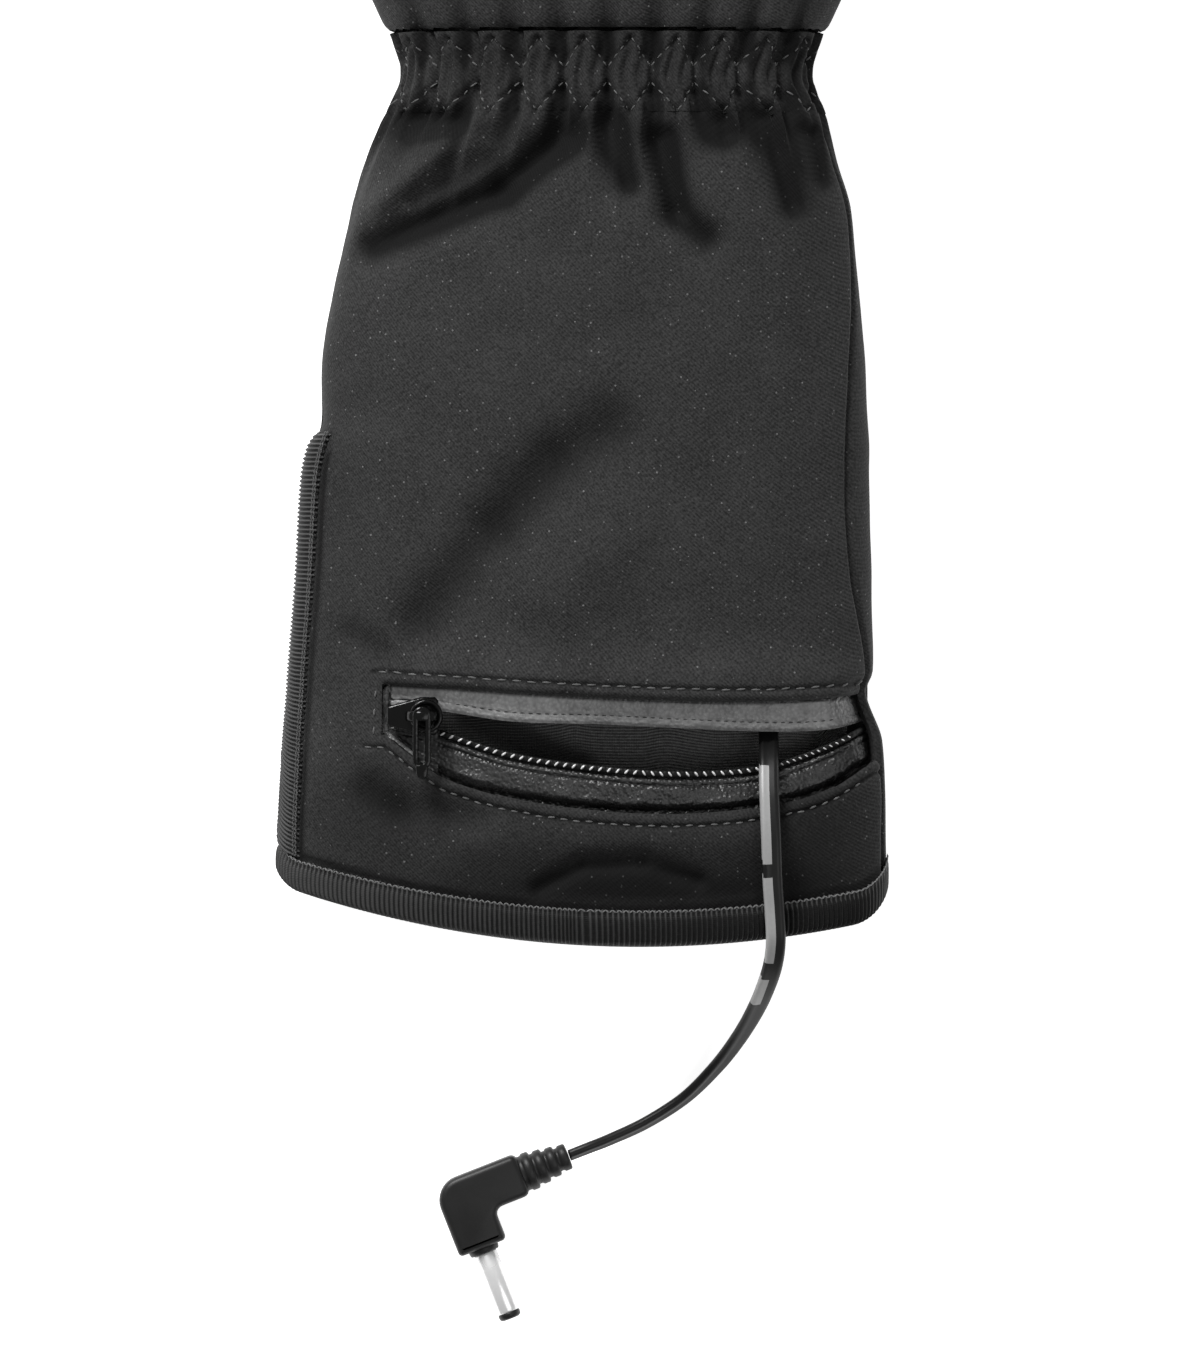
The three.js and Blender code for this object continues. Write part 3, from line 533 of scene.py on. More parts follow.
lead = {"wide": 2.95, "thick": 1.5, "sides": 24, "steps": 9}
leadRoute = [
    (24.9, -24.6, 17.3), (24.9, -27.6, 17.2), (24.9, -30.3, 17.4), (24.9, -33.1, 19.2), (24.9, -35.9, 21.9),
    (24.9, -39.0, 23.5), (25.0, -42.4, 24.5), (25.2, -47.4, 25.1), (25.4, -53.3, 24.5), (25.7, -57.6, 23.7),
    (25.9, -62.0, 23.0), (25.5, -65.6, 20.9), (24.4, -69.2, 17.2), (22.8, -72.9, 12.4), (20.4, -77.0, 7.6),
    (17.3, -81.1, 4.1), (12.7, -85.7, 2.0), (7.0, -89.4, 1.6), (1.6, -91.9, 2.4), (-1.6, -93.15, 3.1),
    (-4.55, -94.3, 3.3),
]


def smoothRoute(points, steps):
    points = np.array(points, float)
    ends = np.vstack([2 * points[0] - points[1], points, 2 * points[-1] - points[-2]])
    found = []
    for a, b, c, d in zip(ends, ends[1:], ends[2:], ends[3:]):
        for t in np.linspace(0, 1, steps, endpoint=False):
            found.append(0.5 * (2 * b + (c - a) * t + (2 * a - 5 * b + 4 * c - d) * t * t
                                + (3 * b - a - 3 * c + d) * t ** 3))
    return np.vstack([found, points[-1]])


leadPath = smoothRoute(leadRoute, lead["steps"])
leadRun = np.concatenate([[0], np.cumsum(np.linalg.norm(np.diff(leadPath, axis=0), axis=1))])
leadShare = leadRun / leadRun[-1]
leadTurn = np.interp(leadShare, [0, 0.45, 0.62, 0.8, 1], [0, 0.05, 0.75, 1.2, 1.35])  # face-on, then edge-on


def twinSection(angle, row):
    # two cores side by side with a groove between
    half = (lead["wide"] - lead["thick"]) / 2
    pinch = 0.42 * np.exp(-((np.cos(angle) - 0.08) / 0.16) ** 2)
    across = half * np.tanh(3 * np.cos(angle)) + lead["thick"] / 2 * np.cos(angle)
    return across, lead["thick"] / 2 * np.sin(angle) * (1 - pinch)


leadPiece = tubePiece("lead_twin", leadPath, twinSection, lead["sides"], leadTurn)
leadPiece.data.materials.append(leadSkin)
leadPiece.data.materials.append(leadLight)
stripes = ((-36.3, -50.2), (-52.6, -65.2), (-67.2, -71))  # a plain dashed stripe marks one of the two cores
leadAhead = np.gradient(leadPath, axis=0)
leadAhead /= np.linalg.norm(leadAhead, axis=1)[:, None]
leadSide = np.cross(leadAhead, (0, 0, 1.0))
leadSide /= np.linalg.norm(leadSide, axis=1)[:, None]
for face in leadPiece.data.polygons:
    centre = np.array(face.center) / mm
    row = np.argmin(np.linalg.norm(leadPath - centre, axis=1))
    away, up = centre - leadPath[row], np.cross(leadSide[row], leadAhead[row])
    cos, sin = math.cos(leadTurn[row]), math.sin(leadTurn[row])
    across, high = away @ leadSide[row], away @ up
    if across * cos + high * sin > 0.3 and high * cos - across * sin > -0.2:
        face.material_index = int(any(low < leadPath[row][1] < high for high, low in stripes))
ride(leadPiece, leadSkin, "vinyl", "lead")

plug = {"x": -20.3, "y": -100.5, "z": 3.3, "turn": math.radians(21.5), "thick": 6.5, "bodyReach": 9.5,
        "legWidth": 7.4, "legReach": 8.05, "corner": 2.6, "edge": 1.0, "reliefLength": 7.3, "reliefRoot": 3.05,
        "reliefEnd": 1.85, "reliefGroove": 0.24, "ribs": 4, "collar": 2.3, "collarLength": 0.8,
        "sleeve": 1.75, "sleeveLength": 9.2, "bore": 0.7, "tip": 0.7, "gap": 0.3}


def atPlug(x, y, z):
    cos, sin = math.cos(plug["turn"]), math.sin(plug["turn"])
    return plug["x"] + x * cos - y * sin, plug["y"] + x * sin + y * cos, plug["z"] + z + 0 * x


def arc(x, y, radius, start, end, count):
    return [(x + radius * math.cos(a), y + radius * math.sin(a)) for a in np.linspace(start, end, count)]


def platePiece(name, outline, low, high, place, edge, segments=4):
    # an outline in the local plane, raised from low to high, with its rims rounded
    count = len(outline)
    bpy.ops.object.select_all(action="DESELECT")
    bpy.ops.mesh.primitive_circle_add(vertices=count, radius=1, fill_type="NGON")
    piece = bpy.context.object
    piece.name = piece.data.name = name
    flat = np.array([(x, y, low) for x, y in outline])
    moveSpots(piece.data, flat * mm)
    raised = {"TRANSFORM_OT_translate": {"value": (0, 0, (high - low) * mm)}}
    editAll((bpy.ops.mesh.extrude_region_move, raised), facesOut)
    if edge:
        modify(piece, "BEVEL", width=edge * mm, segments=segments, limit_method="ANGLE", angle_limit=0.9,
               use_clamp_overlap=False)
    spots = spotsOf(piece.data) / mm
    moveSpots(piece.data, np.stack(np.broadcast_arrays(*place(*spots.T)), axis=1) * mm)
    select(piece)
    bpy.ops.object.shade_smooth_by_angle(angle=0.6)
    return piece


def plugOutline():
    left, right = -plug["legWidth"] / 2, plug["bodyReach"]
    top, inner, bottom = plug["thick"] / 2, plug["legWidth"] / 2, -plug["legReach"]
    corner = plug["corner"] + plug["edge"]
    return ([(right, top)] + arc(left + corner, top - corner, corner, quarter, 2 * quarter, 9)
            + arc(left + 0.6, bottom + 0.6, 0.6, 2 * quarter, 3 * quarter, 4)
            + arc(inner - 0.6, bottom + 0.6, 0.6, -quarter, 0, 4)
            + arc(inner + 1.3, -top - 1.3, 1.3, 2 * quarter, quarter, 6) + [(right, -top)])


plugBody = platePiece("plug_body_moulded", plugOutline(), -plug["thick"] / 2, plug["thick"] / 2, atPlug, plug["edge"])
ride(plugBody, vinyl, "vinyl", "plug_body")


def reliefProfile():
    step = plug["reliefLength"] / plug["ribs"]
    profile = [(0, -0.3), (plug["reliefRoot"] - plug["reliefGroove"], -0.3)]
    for rib in range(plug["ribs"]):
        radius = plug["reliefRoot"] + (plug["reliefEnd"] - plug["reliefRoot"]) * (rib + 0.5) / plug["ribs"]
        low = radius - plug["reliefGroove"]
        profile += [(low, (rib + 0.02) * step), (low, (rib + 0.24) * step), (radius - 0.16, (rib + 0.3) * step),
                    (radius, (rib + 0.4) * step), (radius, (rib + 0.86) * step),
                    (radius - 0.16, (rib + 0.96) * step)]
    return profile + [(plug["reliefEnd"] * 0.75, plug["reliefLength"]), (0, plug["reliefLength"])]


relief = lathePiece("plug_relief", reliefProfile(), 40, lambda x, y, z: atPlug(plug["bodyReach"] + y, x, z * 0.96))
ride(relief, vinyl, "vinyl")
collarTop = -plug["legReach"]
collarEnd = collarTop - plug["collarLength"]
collar = lathePiece("plug_collar", [(0, collarTop + 0.6), (2.2, collarTop + 0.6), (plug["collar"], collarTop - 0.2),
                                    (2.2, collarEnd + 0.15), (2.05, collarEnd), (0, collarEnd)], 48, atPlug)
ride(collar, vinyl, "vinyl")
bore, sleeveTop = plug["bore"], collarEnd - 0.02
sleeveEnd = sleeveTop - plug["gap"] - plug["sleeveLength"] + 0.02
sleeve = lathePiece("plug_sleeve_plated", [
    (bore, sleeveTop), (1.68, sleeveTop), (plug["sleeve"], sleeveTop - 0.1), (plug["sleeve"], sleeveEnd + 0.25),
    (1.66, sleeveEnd + 0.05), (1.5, sleeveEnd), (bore, sleeveEnd), (bore - 0.02, (sleeveEnd + sleeveTop) / 2),
    (bore, sleeveTop)], 64, atPlug)
ride(sleeve, chrome, "plug_metal", "plug_sleeve")
tipEnd = sleeveEnd - plug["gap"] - plug["tip"]
tip = lathePiece("plug_tip_ring", [
    (bore, sleeveEnd + 0.02), (1.62, sleeveEnd + 0.02), (1.68, sleeveEnd - 0.25), (1.6, tipEnd + 0.25),
    (1.25, tipEnd + 0.02), (0.95, tipEnd), (bore, tipEnd + 0.05), (bore, sleeveEnd + 0.02)], 48, atPlug)
ride(tip, vinyl, "vinyl", "plug_tip")
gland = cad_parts["lead_gland"]
gland.data.materials.clear()
gland.data.materials.append(vinyl)

# The cuff's form: sections from the hem to the wrist, as shares

cuff = {"width": 90, "length": 122, "height": 26, "reach": 62, "wall": 1.7, "gap": 0.3, "foldDepth": 2.6,
        "sagMiddle": 6, "sagRadius": 161, "cornerLeft": 3, "cornerRight": 5, "bindingOver": 1.25,
        "seamRound": 0.9, "ventBottom": 4.9, "ventTop": 12.6, "ventTurn": 1.8, "ventGap": 1.6, "tapeTop": 12.0}
hem = -cuff["reach"]
cuffRows = {
    "at": (0, .108, .241, .299, .325, .437, .561, .597, .625, .702, .791, .883, .942, 1),
    "left": (-.516, -.521, -.512, -.506, -.504, -.492, -.482, -.472, -.459, -.457, -.437, -.408, -.385, -.353),
    "right": (.470, .472, .466, .438, .449, .447, .444, .444, .442, .437, .426, .414, .391, .372),
    "height": (.84, .92, .97, .97, .98, 1, 1, 1, 1, .99, .98, .97, .95, .91),
    "seam": (.88, .88, .88, .88, .86, .74, .72, .72, .73, .77, .84, .88, .88, .88),
}
foldRows = {  # x shares of the width, y shares of the length from the hem
    "x0": (-.311, -.060, -.160, -.190, -.200, .020, .100, .125, .200, .268, .345, .020, -.070, -.170, .040, -.400,
           -.370, -.100, -.030, .070, -.200, -.260, .200, -.280),
    "y0": (.990, .970, .905, .940, .990, .985, .965, .880, .985, .990, .975, .620, .582, .500, .500, .370,
           .180, .062, .092, .096, .118, .308, .202, .160),
    "x1": (-.230, -.160, -.372, -.305, -.360, .045, .125, .175, .205, .312, .362, -.070, -.170, -.290, -.060, -.360,
           -.330, -.030, .070, .160, .300, .380, .330, -.210),
    "y1": (.985, .905, .838, .890, .893, .915, .880, .848, .975, .888, .920, .582, .500, .385, .420, .350,
           .160, .092, .096, .072, .118, .296, .210, .150),
    "width": (.026, .030, .028, .022, .022, .026, .027, .026, .028, .025, .018, .046, .046, .044, .070, .026,
              .034, .016, .017, .016, .035, .055, .050, .030),
    "depth": (.85, 1.2, 1.05, .50, -.6, .90, 1.25, .85, .85, .85, .70, .72, .85, .66, -.45, .40,
              .60, .42, .50, .42, -.30, -.75, .50, .40),
}
mouth = {"left": -31.7, "length": 72.3, "top": -24.3, "drop": 19.1, "roll": 1.0, "stitchAbove": 1.8,
         "stitchBelow": 1.85, "groove": 0.38, "grooveWide": 0.36}
mouthRows = {
    "at": (0, .070, .127, .259, .433, .604, .776, .905, 1),
    "foldAbove": (0, .020, .032, .068, .105, .130, .136, .110, .073),
    "tapeAbove": (.190, .195, .215, .288, .309, .340, .366, .350, .262),
    "tapeBelow": (.300, .350, .430, .586, .686, .728, .680, .518, .330),
    "foldBelow": (.390, .602, .733, .880, .974, 1, .942, .812, .586),
}


def cuffRing(y):
    at = (y - hem) / cuff["length"]
    ring = sectionAt(cuffRows, at, cuff["width"], cuff["height"], y)
    ring["seam"] = along(cuffRows, at, "seam") * quarter
    return ring


def hemRise(x):
    ring = cuffRing(np.array([hem + cuff["cornerRight"]]))
    sag = rounded(cuff["sagRadius"], x - cuff["sagMiddle"])
    intoRight = np.clip(x - (ring["right"] - cuff["cornerRight"]), 0, cuff["cornerRight"])
    intoLeft = np.clip(ring["left"] + cuff["cornerLeft"] - x, 0, cuff["cornerLeft"])
    return sag + rounded(cuff["cornerRight"], intoRight) + rounded(cuff["cornerLeft"], intoLeft)


def foldAt(x, y):
    hollows, ridges = 0 * x, 0 * x
    for x0, y0, x1, y1, width, deep in zip(*foldRows.values()):
        x0, x1 = x0 * cuff["width"], x1 * cuff["width"]
        y0, y1 = hem + y0 * cuff["length"], hem + y1 * cuff["length"]
        swell = deep * hill(awayFromLine(x, y, x0, y0, x1, y1), width * cuff["width"])
        if deep > 0:  # hollows that meet blend into one
            hollows = hollows + swell ** 3
        else:
            ridges = ridges + swell
    return (hollows ** (1 / 3) + ridges) * cuff["foldDepth"]


def sunk(x, y, z, angle):  # the folds dent the upper side only
    return z - smooth(np.cos(angle), 0.15, 0.45) * foldAt(x, y)


def floorOver(inward):  # the binding lifts the cloth off the floor beside it
    return cuff["bindingOver"] * (1 - smooth(inward, 6.3, 16.3))


def mouthLine(x, column):
    return mouth["top"] - mouth["drop"] * along(mouthRows, (x - mouth["left"]) / mouth["length"], column)


def edgeAngle(ring, upper, extra=0.0):
    opened = 1 - smooth(ring["y"], cuff["ventTop"] + 2 * cuff["ventTurn"], cuff["ventTop"] + 3 * cuff["ventTurn"])
    half = cuff["gap"] / 2 + (cuff["ventGap"] / 2 + cuff["bindingOver"] - cuff["gap"] / 2) * opened + extra
    middle = ring["height"] * shape["middleShare"]
    reach = ring["height"] - middle if upper else middle + shape["soleSink"]
    power = (shape["topRoundness"] if upper else shape["soleRoundness"]) / 2
    angle = np.arcsin((half / reach) ** power)
    return -quarter + angle if upper else 3 * quarter - angle


def walk(ring, angle, distance):
    for step in range(8):
        ahead = 0.01 * np.sign(distance)
        x0, z0 = sectionPoint(ring, angle, 0)
        x1, z1 = sectionPoint(ring, angle + ahead, 0)
        angle = angle + distance / 8 / np.maximum(np.hypot(x1 - x0, z1 - z0) / 0.01, 1)
    return angle


# Gathers: how many fall round the wrist, and where each place across the cuff lies among them

gather = {"count": 22, "shift": 0.02, "reach": 5.5, "columns": 18}
wrist = {"base": 60.15, "length": 11.8, "width": 98, "height": 27, "wall": 2.0, "lowRow": 62.4, "highRow": 68.9,
         "swing": 2.3, "rib": 0.8, "hollow": 1.9, "groove": 0.5}
wristRows = {"at": (0, .5, 1), "left": (-.3242, -.302, -.318), "right": (.3416, .322, .338),
             "height": (.876, .85, .87)}


def wristSection(share):
    return sectionAt(wristRows, share, wrist["width"], wrist["height"], 0)


wristRing = wristSection(np.array([0.0]))
wristRound = np.linspace(-2 * quarter, 2 * quarter, 1601)
wristX, wristZ = sectionPoint(wristRing, wristRound, 0)
wristRun = np.concatenate([[0], np.cumsum(np.hypot(np.diff(wristX), np.diff(wristZ)))])
wristRun = (wristRun - wristRun[800]) / (wristRun[-1] - wristRun[0])  # nought at the top, half at the sole


def gatherPhase(angle):
    return np.interp(angle, wristRound, wristRun) * gather["count"] - gather["shift"]


def zigzag(phase):
    return 1 - 4 * np.abs(phase - np.rint(phase))


def hollowAt(phase):
    return wrist["hollow"] * np.clip(np.cos(phase * turn), -0.15, 1)


def wristExtra(angle, y):
    # hollows under the zigzags' points, ribs between the rows, and a groove along each row
    phase = gatherPhase(angle)
    peak = np.clip(np.cos(phase * turn), 0, 1)
    lowLine = wrist["lowRow"] + wrist["swing"] * zigzag(phase)
    highLine = wrist["highRow"] - wrist["swing"] * zigzag(phase)
    under = smooth(lowLine - y, -0.1, 0.9)
    over = smooth(y - highLine, -0.1, 0.9)
    depth = (under + over) * hollowAt(phase)
    depth = depth + wrist["rib"] * (1 - under) * (1 - over) * (0.25 + 0.75 * peak)
    for line in (lowLine, highLine):
        depth = depth + wrist["groove"] * hill(y - line, 0.5)
    return np.maximum(depth + 0.36 * np.sin(phase * turn * 3 + 1.1 * np.sin(y * 0.7)), 0.02)


def gathersBelow(angle, y):
    phase = gatherPhase(angle)
    away = wrist["base"] - y
    dent = hollowAt(phase)
    reach = gather["reach"] * (1 + 0.45 * np.sin(phase * 2.1 + 1))
    return dent * np.exp(-away / reach) + (wristExtra(angle, wrist["base"]) - dent) * np.exp(-away / 0.8)


def mouthAway(x, y):
    above, below = mouthLine(x, "foldAbove"), mouthLine(x, "foldBelow")
    over = np.maximum(np.maximum(y - above, below - y), 0)
    beside = np.maximum(mouth["left"] - x, 0)
    return np.hypot(over, beside), above, below


def seamDrop(away):
    return rounded(cuff["seamRound"], np.clip(cuff["seamRound"] - away, 0, cuff["seamRound"]))


def frontExtra(x, angle, y, toSeam):
    # what the sewing does to the front panel: rolled lips, stitch grooves, gathers and small creases
    away, above, below = mouthAway(x, y)
    roll = mouth["roll"]
    depth = rounded(roll, np.clip(roll - away, 0, roll))
    inSpan = smooth(x, mouth["left"] - 2.6, mouth["left"] - 1.6)
    depth += inSpan * mouth["groove"] * hill(y - above - mouth["stitchAbove"], mouth["grooveWide"])
    lowSpan = smooth(x, mouth["left"] - 4.0, mouth["left"] - 2.4)
    depth += lowSpan * mouth["groove"] * hill(below - y - mouth["stitchBelow"], mouth["grooveWide"])
    depth += seamDrop(toSeam)
    depth += gathersBelow(angle, y)
    depth += 0.22 * wrinkle(x, y * 0.8, 9, 1.5) + 0.10 * wrinkle(x, y, 3.4, 4.5)
    depth += 0.16 * hill(away, 4) * wrinkle(x * 1.4, y, 1.9, 8.5)
    return depth


evenShare, evenTurn, frontRound = evenAngles(cuffRing(np.array([-28.0])), -quarter * 0.93, quarter * 0.88)
front = {"columns": 212, "leftColumns": 36, "lowRows": 56, "mouthRows": 3, "highRows": 146}


def frontColumns():
    ring = cuffRing(np.array([-28.0]))
    low, high = edgeAngle(ring, True), ring["seam"]
    target = (angleOfX(ring, mouth["left"], 0) - low) / (high - low)
    share = np.interp(target, evenTurn, evenShare)[0]
    left = np.linspace(0, share, front["leftColumns"] + 1)
    return np.concatenate([left, np.linspace(share, 1, front["columns"] - front["leftColumns"] + 1)[1:]])


columnShares = frontColumns()


def frontSpot(u, v):
    share = columnShares[np.rint(u * front["columns"]).astype(int)]
    row = np.rint(v * (front["lowRows"] + front["mouthRows"] + front["highRows"]))
    low = np.clip(row / front["lowRows"], 0, 1)
    cross = np.clip((row - front["lowRows"]) / front["mouthRows"], 0, 1)
    high = np.clip((row - front["lowRows"] - front["mouthRows"]) / front["highRows"], 0, 1)
    low = 1 - (0.3 * (1 - low) + 0.7 * (1 - low) ** 2)
    high = high - 0.62 * np.sin(turn * high) / turn
    bend = np.interp(share, evenShare, evenTurn)
    y = hem + (row / row.max()) * cuff["length"]
    for again in range(5):
        ring = cuffRing(y)
        angle = edgeAngle(ring, True) + (ring["seam"] - edgeAngle(ring, True)) * bend
        x = sectionPoint(ring, angle, 0)[0]
        above, below, bottom = mouthLine(x, "foldAbove"), mouthLine(x, "foldBelow"), hem + hemRise(x)
        y = bottom + (below - bottom) * low + (above - below) * cross + (wrist["base"] - above) * high
    return angle, x, y, (1 - share) * frontRound


def frontPlace(u, v):
    angle, x, y, toSeam = frontSpot(u, v)
    ring = cuffRing(y)
    ring["floor"] = floorOver(y - hem - hemRise(x))
    depth = frontExtra(x, angle, y, toSeam)
    x, z = sectionPoint(ring, angle, depth)
    return x, y, sunk(x, y, z, angle)


paintedShadePatches = {  # painted shade: patches painted darker, with no form behind them: place, reach across and along, strength
    "x": (0, 6, 32, -34, -41, -28, -4.5, 16, 29, 41, 34, 0, 0, 31.5, -29, 1.5, 31),
    "y": (-49, -54.5, -46, -42, 8, 55, 58, 58, 56, 12, 46, 58, 68, 66, 57, 55, 52),
    "wide": (50, 30, 9, 10, 6, 12, 2.8, 2.4, 2.6, 4, 7, 70, 70, 5, 7, 2.0, 2.0),
    "high": (8, 3.4, 12, 6, 26, 5, 4.5, 4, 6, 38, 10, 4, 7, 8, 2.5, 5, 5),
    "depth": (.36, .80, .45, .30, .25, .25, .70, .55, .45, .30, .25, .32, .34, .45, .30, .35, .40),
}


def paintedShadeAt(x, y, z):
    # painted shade: how much darker the cloth is painted in folds, gathers, seams and the side near the floor, and in
    # the painted shade patches
    x, y = np.asarray(x), np.asarray(y)
    level = np.minimum(y, wrist["base"])
    angle = angleOfX(cuffRing(level), x, 0)
    angle = np.where(z > 10, angle, np.sign(angle) * (2 * quarter - np.abs(angle)))
    gathered = np.where(y > wrist["base"], wristExtra(angle, y), gathersBelow(angle, level))
    dark = (0.30 + 0.16 * smooth(y, 35, 45)) * np.maximum(foldAt(x - 0.3, y + 0.4), 0) * (z > 9)
    dark = dark + 0.48 * np.clip(gathered - 0.25, 0, 1.9)
    for x0, y0, wide, high, deep in zip(*paintedShadePatches.values()):
        dark = dark + deep * np.exp(-((x - x0) / wide) ** 2 - ((y - y0) / high) ** 2) * (z > 9)
    inward = y - hem - hemRise(x)
    dark = dark + 0.9 * hill(inward - 4.45, 0.6)
    fromLeft = x - cuffRing(np.minimum(y, cuff["tapeTop"]))["left"]
    dark = dark + 0.75 * hill(fromLeft - 2.75, 0.4) * (y < cuff["tapeTop"] - 2) * (z > 9)
    away, above, below = mouthAway(x, y)
    inSpan = smooth(x, mouth["left"] - 2.6, mouth["left"] - 1.6) * (z > 9)
    for line in (y - above - mouth["stitchAbove"], below - y - mouth["stitchBelow"]):
        dark = dark + 0.5 * inSpan * hill(line, 0.42)
    return np.clip(dark + 0.55 * (1 - smooth(z, 5, 15)), 0, 0.95)


def dropFaces(piece, unwanted):
    select(piece)
    mesh = piece.data
    centres = np.empty(len(mesh.polygons) * 3)
    mesh.polygons.foreach_get("center", centres)
    wanted = unwanted(*(centres.reshape(-1, 3) / mm).T)
    bpy.ops.object.mode_set(mode="EDIT")
    bpy.ops.mesh.select_all(action="DESELECT")
    bpy.ops.object.mode_set(mode="OBJECT")
    mesh.polygons.foreach_set("select", wanted)
    mesh.update()
    bpy.ops.object.mode_set(mode="EDIT")
    bpy.ops.mesh.select_mode(type="FACE")
    bpy.ops.mesh.delete(type="FACE")
    bpy.ops.object.mode_set(mode="OBJECT")


def inMouth(x, y, z):
    above, below = mouthLine(x, "foldAbove"), mouthLine(x, "foldBelow")
    return (x > mouth["left"] - 0.05) & (y < above) & (y > below) & (z > 8)


frontPiece = gridPiece("cuff_front_cloth", front["columns"], front["lowRows"] + front["mouthRows"] + front["highRows"],
                       frontPlace, shade=paintedShadeAt)
dropFaces(frontPiece, inMouth)
thicken(frontPiece, cuff["wall"])
ride(frontPiece, softshell, "softshell", "cuff_front_panel")
print("front panel")


def backPlace(u, v):
    share = np.interp(u, backShare, backTurn)
    long = wrist["base"] - hem
    y = hem + v * long
    for again in range(4):
        ring = cuffRing(y)
        right = walk(ring, ring["seam"], cuff["gap"])
        angle = right + (edgeAngle(ring, False) - right) * share
        x = sectionPoint(ring, angle, 0)[0]
        y = hem + v * long + hemRise(x) * (1 - v) ** 2
    ring = cuffRing(y)
    ring["floor"] = floorOver(v * long)
    depth = seamDrop(u * 110) + gathersBelow(np.arctan2(np.sin(angle), np.cos(angle)), y)
    depth += 0.20 * wrinkle(x + ring["y"] * 0.2, y, 8, 21.5) + 0.08
    x, z = sectionPoint(ring, angle, np.maximum(depth, 0))
    return x, y, np.maximum(sunk(x, y, z, angle), 0.02)


backShare, backTurn = evenAngles(cuffRing(np.array([-20.0])), quarter * 0.8, quarter * 2.93)[:2]
backPiece = gridPiece("cuff_back_cloth", 170, 150, backPlace, shade=paintedShadeAt)
thicken(backPiece, cuff["wall"])
ride(backPiece, softshell, "softshell", "cuff_back_panel")

# Shirred wrist: two mirrored zigzag rows sewn over elastic, with hollows under their points


def wristPlace(u, v):
    angle = np.interp(u - 0.5, wristRun, wristRound)
    ring = wristSection(v)
    y = wrist["base"] + v * wrist["length"]
    depth = wristExtra(angle, y) + 0.12 * wrinkle(angle * 16, y, 1.6, 3.5)
    x, z = sectionPoint(ring, angle, np.maximum(depth, 0.02))
    return x, y, sunk(x, y, z, angle)


wristPiece = gridPiece("wrist_shirring", gather["count"] * gather["columns"], 54, wristPlace, around=True,
                       shade=paintedShadeAt)
thicken(wristPiece, wrist["wall"])
ride(wristPiece, softshell, "softshell", "wrist_gathers")
print("back panel and wrist")

# Hand: palm, fingers and thumb swelled into one skin, then opened at the wrist and given its wall

hand = {"base": 72.1, "width": 98, "length": 98, "height": 27, "tipRound": 9, "tipShare": 0.8,
        "thumbWidth": 27, "thumbHigh": 22, "thumbLength": 92, "thumbTurn": math.radians(33), "voxel": 1.15,
        "wall": 1.8}
handRows = {"at": (0, .12, .35, .65, 1), "left": (-.322, -.375, -.455, -.495, -.497),
            "right": (.342, .395, .470, .500, .503), "height": (.88, .93, 1, 1, .95)}
fingers = {"width": (22.6, 24.4, 25.2, 24.6), "length": (61, 75, 82, 74), "height": (20, 23, 24.5, 23),
           "lean": (-9, -4, 0, 5)}


def handPlace(u, v):
    angle = (u - 0.5) * turn
    ring = sectionAt(handRows, v, hand["width"], hand["height"], 0)
    x, z = sectionPoint(ring, angle, 0)
    return x, hand["base"] + v * hand["length"], z


def fingerPlace(width, height, length, lean, start):
    # start: how far the tube begins before its base, inside the hand
    def place(u, v):
        angle = (u - 0.5) * turn
        straight = length - hand["tipRound"]
        body = np.clip(v / 0.6, 0, 1)
        inTip = np.clip((v - 0.6) / 0.4, 0, 1)
        y = body * straight + hand["tipRound"] * np.sin(inTip * quarter)
        taper = 1 + (hand["tipShare"] - 1) * np.minimum(y / straight, 1)
        ball = np.cos(inTip * quarter * 0.999) ** 0.8
        power = 2 / shape["topRoundness"]
        side, up = np.sin(angle), np.cos(angle)
        x = lean * y / length + width / 2 * taper * ball * np.sign(side) * np.abs(side) ** power
        z = height * taper / 2 * (1 + ball * np.sign(up) * np.abs(up) ** power)
        return x, y - start * (1 - body), z
    return place


def moved(place, x, y, angle=0.0):
    def spot(u, v):
        a, b, z = place(u, v)
        return x + a * math.cos(angle) + b * math.sin(angle), y - a * math.sin(angle) + b * math.cos(angle), z
    return spot


def handSkin():
    parts = [gridPiece("hand_skin", 72, 40, handPlace, around=True)]
    x, y = -hand["width"] / 2 + 0.3, hand["base"] + hand["length"]
    for width, length, height, lean in zip(*fingers.values()):
        place = moved(fingerPlace(width, height, length, lean, 8), x + width / 2, y + 0.3)
        parts.append(gridPiece("finger", 48, 50, place, around=True))
        x += width + 0.3
    thumbAt = (hand["width"] * 0.24, hand["base"] + hand["length"] * 0.14)
    place = fingerPlace(hand["thumbWidth"], hand["thumbHigh"], hand["thumbLength"], 0, 0)
    parts.append(gridPiece("thumb_skin", 48, 50, moved(place, *thumbAt, hand["thumbTurn"]), around=True))
    for part in parts:
        closeEnds(part)
    select(parts[0])
    for part in parts:
        part.select_set(True)
    bpy.ops.object.join()
    skin = bpy.context.object
    modify(skin, "REMESH", mode="VOXEL", voxel_size=hand["voxel"] * mm, use_smooth_shade=True)
    modify(skin, "SMOOTH", factor=0.5, iterations=9)
    return skin


